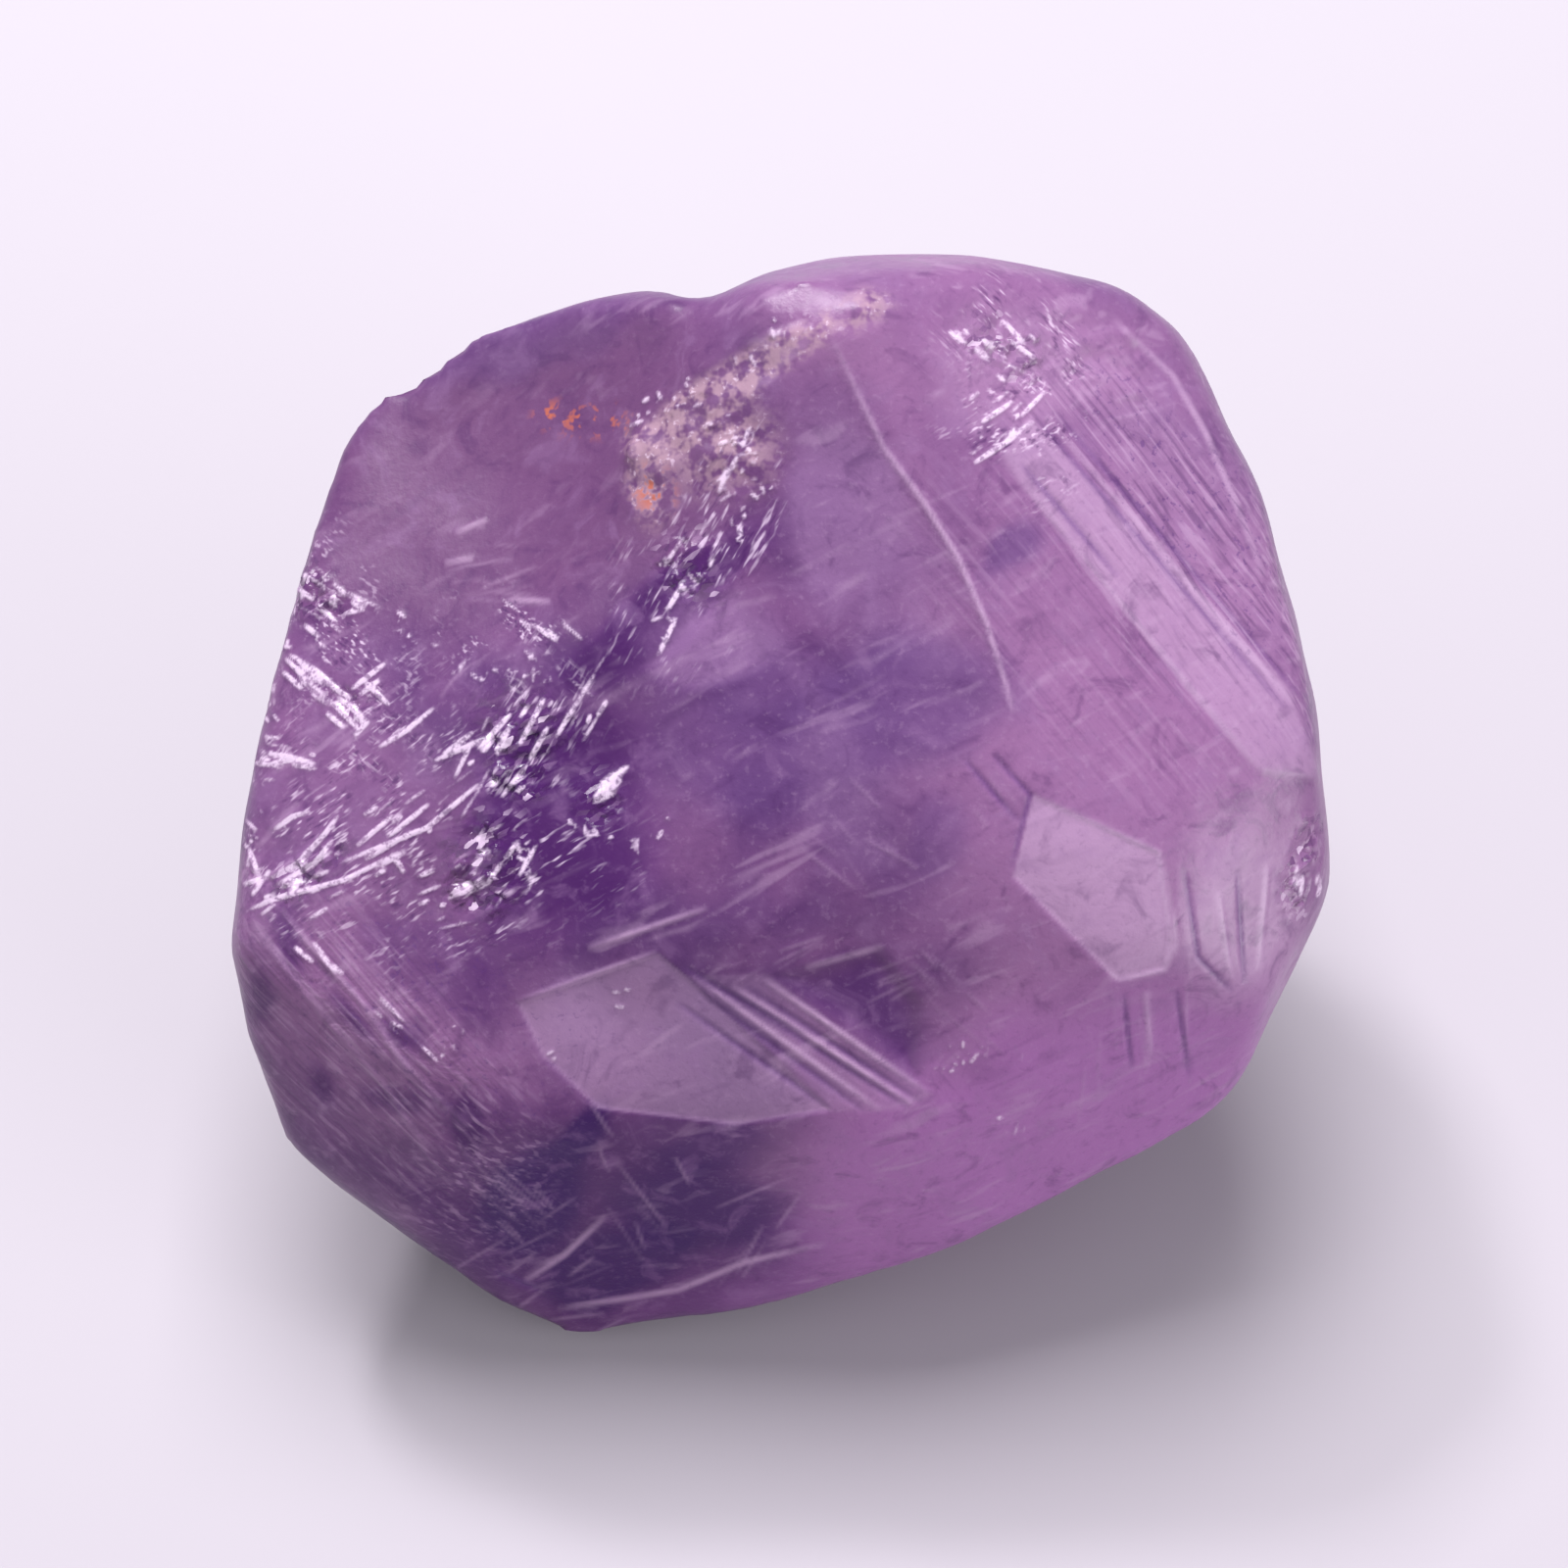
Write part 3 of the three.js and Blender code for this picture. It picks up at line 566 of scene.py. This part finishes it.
def lumpy(s, lumps):
    return sum((s.chance(size, shift) - 0.5) * height for size, shift, height in lumps)


def plated(s, kinds):
    return sum(plates(s, size, stretch, heading) * height for size, stretch, heading, height in kinds)


def carve(stone):
    """Undulation, plates, crystal faces and striations, pushed into the mesh along its normals."""
    s = Surface(stone.data)
    broken = broken_zone(s)
    lift = lumpy(s, UNDULATION)
    lift += ripples(s) * (1 - s.shown)
    lift += broken * s.shown * plated(s, SPARKLING_PLATES)
    lift += broken * s.hidden * plated(s, HIDDEN_PLATES)
    for corners, height, soft in SHAPE_RELIEF:
        lift += height * s.patch(corners, soft)
    for routes, height, width in LINE_RELIEF:
        lift += height * s.lines(routes, width)
    for routes, (height, width) in ((splinters(), SPLINTER_RELIEF), (faint_lines(), FAINT_RELIEF)):
        lift += height * drawn(s, routes, width)
    lift += crust_zone(s) * (lumpy(s, CRUST_LUMPS) + plated(s, CRUST_PLATES))
    lift += s.oval(ROUGH_SPOT) * lumpy(s, ROUGH_LUMPS)
    carved = s.points + s.normals * (lift * MM)[:, None]
    carved[:, 2] = np.maximum(carved[:, 2], 0)
    set_points(stone.data, carved)


# The zones of colour and finish

# The soft ovals that make up each zone; more is added to some of them below
ZONE_SPOTS = {
    "satin": [Spot((-9.4, 11.6), (8.4, 5.4), 22, all_round=True)],
    "deep": [
        Spot((-4.2, 6.8), (4.4, 1.2), 38), Spot((-8.0, -0.8), (3.4, 4.4), -5),
        Spot((-6.4, -15.2), (7.4, 3.8), -14, 0.85, all_round=True),
        Spot((-12.6, -6.0), (2.6, 1.6), -30, 0.6),
    ],
    "indigo": [
        Spot((-9.0, -14.8), (2.2, 1.7), 40, 1.0, 0.3, 1.0),
        Spot((-7.4, -12.5), (1.7, 0.6), 52, 1.0, 0.4, 0.6),
        Spot((-6.0, -17.0), (2.7, 1.3), 20, 0.8, 0.3, 1.0, all_round=True),
        Spot((-2.8, -14.9), (2.9, 1.7), -8, 0.7), Spot((-2.6, -12.7), (2.4, 0.7), 0, 0.5),
    ],
    "blue": [
        Spot((4.6, 3.4), (3.6, 2.4), 10), Spot((5.8, -1.8), (1.3, 1.5), 0, 0.6),
        Spot((8.4, 9.1), (1.3, 0.6), 50, 1.3, 0.7, 1.2), Spot((-1.4, 2.4), (4.4, 3.4), -10, 0.8),
        Spot((-9.6, 17.0), (4.0, 1.6), 14, 0.7),
    ],
    "milk": [
        Spot((2.2, 0.4), (1.6, 3.0), 14, 0.5), Spot((2.6, 10.6), (2.0, 3.0), 20, 0.5),
        Spot((3.4, 9.4), (2.0, 5.0), 24, 0.45), Spot((-2.6, 5.8), (2.4, 1.5), 8, 0.5),
        Spot((-7.6, -8.4), (1.4, 1.8), 30, 0.8, 0.7, 1.0),
    ],
    "pink": [
        Spot((13.0, 0.0), (7.6, 15.0), 8, soft=0.5, all_round=True),
        Spot((8.0, -12.8), (10.4, 4.8), 24, soft=0.5, all_round=True),
        Spot((-16.4, 1.0), (3.2, 4.0), 20, 0.35), Spot((2.6, 13.8), (4.6, 2.4), -60, 0.5),
        Spot((6.2, 17.4), (7.4, 3.2), -12, 0.7, all_round=True),
    ],
    "pale": [
        Spot((15.2, 9.8), (7.0, 2.2), -54, 0.14, 0.5), Spot((11.6, 15.2), (4.0, 2.6), -30, 0.06),
        Spot((16.8, -4.4), (2.4, 3.4), 0, 0.4), Spot((8.2, 15.6), (2.6, 2.2), -30, 0.2),
    ],
    "rust": [
        Spot((-6.9, 13.6), (1.2, 0.5), 0, 1.0, 0.8, 0.4), Spot((-8.4, 13.9), (0.5, 0.4), 0, 1.0, 0.8, 0.3),
        Spot((-4.7, 11.2), (0.6, 0.8), 10, 1.0, 0.8, 0.4),
    ],
    "lined": [
        Spot((15.4, 8.6), (9.0, 3.2), STRIATIONS, soft=0.5),
        Spot((11.0, 5.4), (8.0, 3.6), STRIATIONS, 0.35),
    ],
    "rose": [
        Spot((9.0, -12.8), (10.0, 4.4), 24, all_round=True), Spot((-1.0, -17.4), (4.4, 1.4), 14, 0.9),
    ],
    "low": [Spot((-14.4, -8.6), (6.6, 3.4), -40, soft=0.6, all_round=True)],
    "low_lined": [Spot((-14.6, -9.8), (7.4, 3.4), LOWER_STRIATIONS, soft=0.5)],
    # Where the grain gets painted shade as dark pits
    "pitted": [
        Spot((14.4, 11.0), (6.0, 1.8), -56, soft=0.6), Spot((-13.0, -8.0), (6.0, 4.0), -30, 0.6, 0.6),
    ],
}
for streak, streak_spots in STREAKS.items():
    ZONE_SPOTS[streak] = [Spot(*spot, soft=0.6, ragged=2.4) for spot in streak_spots]

# Shapes that belong to a zone: the softness and the raggedness of their edge, and their share
ZONE_SHAPES = [
    ("deep", DARK_CORNER, 0.8, 0.8, 0.55), ("indigo", DARK_CORNER, 0.9, 0.8, 0.45),
    ("milk", PALE_PLATE, 0.25, 0.3, 0.5), ("pale", PENTAGON, 0.06, 0.0, 0.66),
    ("pale", WINDOW, 0.06, 0.0, 0.4), ("pale", SLATS, 0.1, 0.0, 0.2),
]

# The same zones on the hidden sides: which drift of chance, where in it the zone starts and where it is
# full, and its share
HIDDEN_ZONES = [
    ("satin", "middling", 0.52, 0.66, 1.0), ("deep", "wide", 0.5, 0.72, 0.6),
    ("blue", "close", 0.55, 0.7, 0.6), ("milk", "middling", 0.6, 0.72, 0.5),
    ("pink", "wide", 0.5, 0.38, 1.0), ("lined", "close", 0.48, 0.6, 1.0),
    ("crossed", "torn", 0.5, 0.64, 1.0),
]

# Where the painted highlight on the ledges is dull
DULL_LEDGES = Spot((-14.0, -11.0), (7.0, 6.0), -40, 0.55)


def dark_spots(s):
    return np.max([s.oval(Spot(*spot, DARK_SHARE, 0.7, 0.8)) for spot in DARK_SPOTS], axis=0) * DARK_SHARE


def strongest(s, lines):
    """Soft lines that each have a width and a strength."""
    return np.max([s.line(route, width) * strength for route, width, strength in lines], axis=0)


def clouds(s):
    """Soft clouds all through the stone, large and small."""
    return smooth_step(0.3, 0.7, 0.65 * s.chance(4.5, 71) + 0.35 * s.chance(1.8, 81))


def mark_zones(stone):
    """Keeps the zones of colour and finish as attributes of the mesh."""
    s = Surface(stone.data)
    zones = {name: s.ovals(spots) for name, spots in ZONE_SPOTS.items()}
    for name, corners, soft, ragged, share in ZONE_SHAPES:
        zones[name] += s.patch(corners, soft, ragged) * share
    zones["deep"] += dark_spots(s)
    zones["milk"] += strongest(s, WISPS)
    zones["lined"] *= 1 - 0.5 * s.patch(BAND, 0.2)
    zones["pale"] += s.patch(BAND, 0.16, 0.2) * (0.56 - 0.12 * smooth_step(8, 15, s.x))
    # A painted highlight along the crest
    zones["pale"] += s.line(CREST, 0.18) * 0.95
    # Painted highlights along the ledges, weaker where they are dull
    zones["pale"] += s.lines(LIGHT_LINES, 0.2) * (1 - s.ovals([DULL_LEDGES])) * 0.7
    drifts = {name: s.chance(*drift) for name, drift in DRIFTS.items()}
    for name, drift, low, high, share in HIDDEN_ZONES:
        zones[name] += s.hidden * smooth_step(low, high, drifts[drift]) * share
    zones["cloud"] = clouds(s)
    zones["broken"] = broken_zone(s)
    zones["crust"] = crust_zone(s)
    zones["vein"] = strongest(s, VEINS)
    # Where the grooves are darkened with painted shade
    zones["groove"] = s.lines(GROOVES, 0.19)
    # Where the splinters and the clear glint get painted glints
    zones["splinter"] = np.maximum(drawn(s, splinters(), 0.15), s.patch(CLEAR_GLINT, 0.1))
    zones["faint"] = drawn(s, faint_lines(), 0.12)
    for name, values in zones.items():
        attribute = stone.data.attributes.new(name, "FLOAT", "POINT")
        attribute.data.foreach_set("value", np.clip(values, 0, 1).astype(np.float32))


# Materials

class Tree:
    """A short way to add and join a material's nodes."""

    def __init__(self, name):
        self.material = bpy.data.materials.new(name)
        self.material.use_nodes = True
        self.nodes = self.material.node_tree.nodes
        self.nodes.clear()
        self.output = self.add("OutputMaterial")

    def put(self, socket, value):
        if isinstance(value, bpy.types.NodeSocket):
            self.material.node_tree.links.new(value, socket)
        else:
            socket.default_value = value

    def add(self, kind, inputs=(), **settings):
        node = self.nodes.new(("" if kind.startswith("Shader") else "ShaderNode") + kind)
        for key, value in settings.items():
            setattr(node, key, value)
        for key, value in dict(inputs).items():
            self.put(node.inputs[key], value)
        return node

    def zone(self, name):
        return self.add("Attribute", attribute_name=name).outputs["Fac"]

    def math(self, operation, a, b, clamp=False):
        return self.add("Math", {0: a, 1: b}, operation=operation, use_clamp=clamp).outputs[0]

    def times(self, *values):
        product = values[0]
        for value in values[1:]:
            product = self.math("MULTIPLY", product, value)
        return product

    def ramp(self, value, low, high, start=0.0, end=1.0):
        inputs = {"Value": value, "From Min": low, "From Max": high, "To Min": start, "To Max": end}
        return self.add("MapRange", inputs, interpolation_type="SMOOTHSTEP").outputs[0]

    def mix(self, share, first, second):
        node = self.add("Mix", data_type="RGBA")
        self.put(node.inputs[0], share)
        self.put(node.inputs[6], first)
        self.put(node.inputs[7], second)
        return node.outputs[2]

    def vector(self, operation, a, b):
        return self.add("VectorMath", {0: a, 1: b}, operation=operation).outputs[0]

    def side(self, heading=0.0, stretch=1.0):
        """Millimetres on the broad side, turned so that x runs along the heading and is drawn out."""
        where = self.add("TexCoord").outputs["Object"]
        lying = self.add("Mapping", {"Vector": where, "Rotation": (-LEAN, 0, 0)})
        turned = self.add("Mapping", {"Vector": lying.outputs[0], "Rotation": (0, 0, -math.radians(heading))})
        scale = (1 / stretch / MM, 1 / MM, 1 / MM)
        return self.add("Mapping", {"Vector": turned.outputs[0], "Scale": scale}).outputs[0]

    def bowed(self, where, amount):
        """The same place with x bent, so that lines along it run in a shallow arc."""
        parts = self.add("SeparateXYZ", {"Vector": where}).outputs
        bent = self.math("ADD", parts[1], self.times(parts[0], parts[0], amount))
        return self.add("CombineXYZ", {"X": parts[0], "Y": bent, "Z": parts[2]}).outputs[0]

    def noise(self, where, size, detail, roughness, distortion=0.0):
        inputs = {"Vector": where, "Scale": 1 / size, "Detail": detail, "Roughness": roughness}
        return self.add("TexNoise", {**inputs, "Distortion": distortion}).outputs["Fac"]


def seen(red, green, blue):
    """A colour given as it is seen, from 0 to 255, as light."""
    shares = [value / 255 for value in (red, green, blue)]
    return (*(v / 12.92 if v <= 0.04045 else ((v + 0.055) / 1.055) ** 2.4 for v in shares), 1.0)


VIOLET = seen(108, 67, 115)
CLOUD = seen(85, 49, 101)
DUSKY_MAUVE = seen(99, 59, 102)
DEEP_VIOLET = seen(58, 18, 78)
INDIGO = seen(46, 8, 78)
BLUE_VIOLET = seen(88, 55, 110)
MILK = seen(131, 94, 140)
PINK_LILAC = seen(138, 94, 139)
ROSE = seen(161, 100, 168)
PALE_LILAC = seen(176, 143, 178)
CREAM = seen(186, 152, 164)
RUST = seen(176, 92, 70)
# The near-white of painted glints: painted highlights on splinters, streaks, plates and crust crumbs
PAINTED_GLINT = seen(230, 206, 233)
# The dark violet of painted shade in the grooves and pits
GROOVE_SHADE = seen(84, 48, 110)
FLOOR_GREY = seen(164, 157, 167)

# Quartz: how it bends light, the colour of the light that comes through it and how soon that colour is
# reached, how much it mirrors, and how see-through it is where it is light and where it is dark
QUARTZ_IOR = 1.544
THROUGH = (0.50, 0.12, 0.62, 1.0)
ABSORPTION = 180.0
MIRRORING = 0.2
SEE_THROUGH = (0.18, 0.04)

# The colours laid over the cloudy violet, in this order: the zone, its colour and the most that it covers
TINTS = [
    ("low", PINK_LILAC, 0.75), ("pink", PINK_LILAC, 0.9), ("rose", ROSE, 0.6),
    ("satin", DUSKY_MAUVE, 0.85), ("blue", BLUE_VIOLET, 0.65), ("deep", DEEP_VIOLET, 0.9),
    ("indigo", INDIGO, 0.9), ("vein", DEEP_VIOLET, 0.4), ("milk", MILK, 0.7), ("pale", PALE_LILAC, 0.9),
    # The last tint darkens the grooves with painted shade
    ("faint", PALE_LILAC, 0.32), ("groove", GROOVE_SHADE, 0.6),
]

# The headings of the fine streaks and of their painted glints
STREAK_HEADINGS = {"streaked": SPLINTERS, "crossed": 58, "edged": -38}


def cloudy(t, wisps):
    """Cloudy violet with its soft zones of colour, and pale and deep wisps over them."""
    colour = t.mix(t.zone("cloud"), VIOLET, CLOUD)
    for zone, tint, share in TINTS:
        colour = t.mix(t.times(t.zone(zone), share), colour, tint)
    colour = t.mix(t.ramp(wisps, 0.5, 0.72, 0, 0.3), colour, MILK)
    return t.mix(t.ramp(wisps, 0.48, 0.28, 0, 0.35), colour, DEEP_VIOLET)


def veiled(t, colour, grain, dense):
    """Faint drawn-out veils and a grain, their pale quieter in the smooth shell and the toe, and painted
    shade in pits.
    """
    quiet = t.math("MAXIMUM", t.zone("satin"), dense)
    clear = t.math("SUBTRACT", 1.0, t.times(quiet, 0.6))
    veils = t.noise(t.side(28, 5), 0.9, 2, 0.6, 0.4)
    colour = t.mix(t.times(t.ramp(veils, 0.56, 0.74, 0, 0.28), clear), colour, PALE_LILAC)
    colour = t.mix(t.ramp(veils, 0.44, 0.28, 0, 0.14), colour, DEEP_VIOLET)
    colour = t.mix(t.times(t.ramp(grain, 0.55, 0.75, 0, 0.13), clear), colour, PALE_LILAC)
    colour = t.mix(t.ramp(grain, 0.45, 0.25, 0, 0.16), colour, DEEP_VIOLET)
    # Painted shade in the pits
    return t.mix(t.times(t.ramp(grain, 0.4, 0.34), t.zone("pitted"), 0.45), colour, GROOVE_SHADE)


def crusted(t, colour, grain, lumps, crust):
    """The crust: grains of cream with bright crumbs painted as glints, and spots of rust."""
    colour = t.mix(t.times(crust, 0.54), colour, CREAM)
    # Painted glints on the crust's crumbs
    colour = t.mix(t.times(crust, t.ramp(grain, 0.58, 0.72), 0.5), colour, PAINTED_GLINT)
    rust = t.times(t.zone("rust"), t.ramp(lumps, 0.52, 0.62))
    return t.mix(t.times(rust, 0.9), colour, RUST)


def striated(t, colour, striations):
    """Fine straight lines of the crystal: each pattern with the zone it shows in."""
    for pattern, zone in striations:
        colour = t.mix(t.times(t.ramp(pattern, 0.53, 0.7), zone, 0.4), colour, PALE_LILAC)
        colour = t.mix(t.times(t.ramp(pattern, 0.47, 0.3), zone, 0.4), colour, DEEP_VIOLET)
    return colour


def streaked(t, colour, place):
    """Short streaks in three headings, in clumps: bright ones painted as glints, and darker ones."""
    clumps = t.ramp(t.noise(place, 1.3, 2, 0.5), 0.46, 0.62)
    for zone, heading in STREAK_HEADINGS.items():
        pattern = t.noise(t.side(heading, 5), 0.17, 1, 0.6)
        there = t.times(t.zone(zone), clumps)
        colour = t.mix(t.times(t.ramp(pattern, 0.46, 0.3), there, 0.6), colour, DEEP_VIOLET)
        # The bright streaks are painted glints
        colour = t.mix(t.times(t.ramp(pattern, 0.54, 0.72), there, 0.55), colour, PAINTED_GLINT)
    return colour


def sparkling(t, colour, plate, broken, grain):
    """Plates of the break, some pale and a few bright as painted highlights, some dark, and the splinters
    painted bright as glints.
    """
    pick = t.add("SeparateColor", {"Color": plate}).outputs[0]
    # Pale plates are painted highlights, the brightest are painted glints
    colour = t.mix(t.times(t.ramp(pick, 0.72, 0.9), broken, 0.18), colour, PALE_LILAC)
    colour = t.mix(t.times(t.ramp(pick, 0.965, 0.98), broken, 0.6), colour, PAINTED_GLINT)
    colour = t.mix(t.times(t.ramp(pick, 0.3, 0.1), broken, 0.5), colour, DEEP_VIOLET)
    # The splinters and the clear glint painted bright: painted glints
    shine = t.times(t.ramp(t.zone("splinter"), 0.1, 0.7), t.ramp(grain, 0.34, 0.56, 0.3, 1.0))
    return t.mix(t.times(shine, 0.72), colour, PAINTED_GLINT)


def relief(t, plate, broken, striations, grain):
    """The way the surface leans: each plate of the break its own way, with grooves and grain over all."""
    lean = t.vector("SUBTRACT", plate, (0.5, 0.5, 0.5))
    scaled = t.add("VectorMath", {0: lean, "Scale": t.times(broken, 0.55)}, operation="SCALE").outputs[0]
    tipped = t.vector("ADD", t.add("NewGeometry").outputs["Normal"], scaled)
    leaning = t.vector("NORMALIZE", tipped, (0, 0, 0))
    height = t.times(grain, 0.25)
    for pattern, zone in striations:
        height = t.math("ADD", height, t.times(pattern, zone))
    bump = {"Height": height, "Strength": 0.5, "Distance": 0.12 * MM, "Normal": leaning}
    return t.add("Bump", bump).outputs[0]


def roughness(t, wisps, crust, broken):
    """Rougher in the smooth shell and the crust, keener on the plates of the break."""
    rough = t.ramp(wisps, 0.3, 0.7, 0.3, 0.42)
    rough = t.math("ADD", rough, t.times(t.zone("satin"), 0.08))
    rough = t.math("ADD", rough, t.times(crust, 0.3))
    return t.math("SUBTRACT", rough, t.times(broken, 0.16), clamp=True)


def amethyst_finish():
    """Cloudy violet quartz, partly see-through."""
    t = Tree("amethyst")
    place = t.side()
    wisps = t.noise(place, 1.6, 3, 0.62, 1.0)
    grain = t.noise(place, 0.28, 2, 0.65)
    lumps = t.noise(place, 0.6, 2, 0.7)
    lines = t.noise(t.side(STRIATIONS, 30), 0.26, 1, 0.6)
    low_lines = t.noise(t.bowed(t.side(LOWER_STRIATIONS, 24), 0.6), 0.26, 1, 0.6)
    plate = t.add("TexVoronoi", {"Vector": t.side(SPLINTERS, 2.2), "Scale": 1 / 0.2}).outputs["Color"]
    broken = t.zone("broken")
    dense = t.math("MAXIMUM", t.zone("indigo"), t.zone("deep"))
    crust = t.times(t.zone("crust"), t.ramp(lumps, 0.38, 0.6))
    low_lined = t.times(t.zone("low_lined"), t.ramp(wisps, 0.35, 0.6, 0.4, 1.0))
    striations = ((lines, t.zone("lined")), (low_lines, low_lined))

    colour = veiled(t, cloudy(t, wisps), grain, dense)
    colour = crusted(t, colour, grain, lumps, crust)
    colour = streaked(t, striated(t, colour, striations), place)
    colour = sparkling(t, colour, plate, broken, grain)
    body = t.add("BsdfPrincipled", {
        "Base Color": colour,
        "Roughness": roughness(t, wisps, crust, broken),
        "IOR": QUARTZ_IOR,
        "Specular IOR Level": MIRRORING,
        "Transmission Weight": t.ramp(dense, 0.0, 0.6, *SEE_THROUGH),
        "Normal": relief(t, plate, broken, striations, grain),
    })
    inside = t.add("VolumeAbsorption", {"Color": THROUGH, "Density": ABSORPTION})
    t.put(t.output.inputs["Surface"], body.outputs[0])
    t.put(t.output.inputs["Volume"], inside.outputs[0])
    return t.material


def floor_finish():
    t = Tree("pale_floor")
    body = t.add("BsdfPrincipled", {"Base Color": FLOOR_GREY, "Roughness": 0.8})
    t.put(t.output.inputs["Surface"], body.outputs[0])
    return t.material


# The studio, in metres

FLOOR_REACH = 8

# Each lamp: the direction from the stone to it on the broad side, how far off it is, its size and its power
LAMPS = {
    "key": ((-0.05, 0.8, 0.58), 0.4, (0.2, 0.2), 2.3),
    "right": ((0.85, -0.3, 0.45), 0.4, (0.3, 0.22), 1.3),
    "glints": ((-0.3, 0.88, 0.4), 0.4, (0.05, 0.05), 0.9),
    "fill": ((-0.9, -0.1, 0.6), 0.45, (0.3, 0.3), 0.45),
}
SKY = (0.82, 0.83, 0.86, 1)
SKY_STRENGTH = 0.55

# The camera looks square on to the broad side. The lens and the sensor are in millimetres, and the stone
# takes up STONE_SHARE of the picture's width.
LENS = 100.0
SENSOR = 36.0
STONE_SHARE = 0.70
SEEN_FROM = 0.01
SEEN_TO = 10


def studio_floor():
    bm = bmesh.new()
    bmesh.ops.create_grid(bm, x_segments=1, y_segments=1, size=FLOOR_REACH)
    mesh = bpy.data.meshes.new("floor")
    bm.to_mesh(mesh)
    bm.free()
    mesh.materials.append(floor_finish())
    floor = bpy.data.objects.new("floor", mesh)
    bpy.context.scene.collection.objects.link(floor)


def softbox(name, towards, distance, size, power):
    """A flat lamp that shines on the stone."""
    lamp = bpy.data.lights.new(name, "AREA")
    lamp.shape = "RECTANGLE"
    lamp.size, lamp.size_y = size
    lamp.energy = power
    box = bpy.data.objects.new(name, lamp)
    direction = Matrix.Rotation(LEAN, 3, "X") @ Vector(towards).normalized()
    box.location = Vector(MIDDLE) + direction * distance
    box.rotation_euler = direction.to_track_quat("Z", "Y").to_euler()
    bpy.context.scene.collection.objects.link(box)


def studio_light():
    for name, lamp in LAMPS.items():
        softbox(name, *lamp)
    world = bpy.data.worlds.new("studio")
    world.use_nodes = True
    world.node_tree.nodes["Background"].inputs["Color"].default_value = SKY
    world.node_tree.nodes["Background"].inputs["Strength"].default_value = SKY_STRENGTH
    bpy.context.scene.world = world


def studio_camera():
    """Looks down at the stone at the photograph's viewing angle."""
    low, high = cad_box
    back = Vector((0, -math.sin(LEAN), math.cos(LEAN)))
    distance = (high.x - low.x) / STONE_SHARE * LENS / SENSOR
    data = bpy.data.cameras.new("camera")
    data.lens, data.sensor_width = LENS, SENSOR
    data.clip_start, data.clip_end = SEEN_FROM, SEEN_TO
    camera = bpy.data.objects.new("camera", data)
    camera.location = (low + high) / 2 + back * distance
    camera.rotation_euler = back.to_track_quat("Z", "Y").to_euler()
    bpy.context.scene.collection.objects.link(camera)
    bpy.context.scene.camera = camera


def render_settings():
    """Plain colours, and only as many bounces of light as the stone needs."""
    scene = bpy.context.scene
    scene.view_settings.view_transform = "Standard"
    scene.cycles.max_bounces = 4
    scene.cycles.diffuse_bounces = 2
    scene.cycles.glossy_bounces = 1
    scene.cycles.transmission_bounces = 4
    scene.cycles.caustics_refractive = False
    scene.cycles.caustics_reflective = False


# Making it

stone = stone_from(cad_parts["amethyst"], "amethyst_stone")
even_mesh(stone)
wear(stone)
refine(stone)
carve(stone)
mark_zones(stone)
for polygon in stone.data.polygons:
    polygon.use_smooth = True
stone.data.materials.append(amethyst_finish())
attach(stone, "root")
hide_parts("amethyst")

studio_floor()
studio_light()
studio_camera()
render_settings()
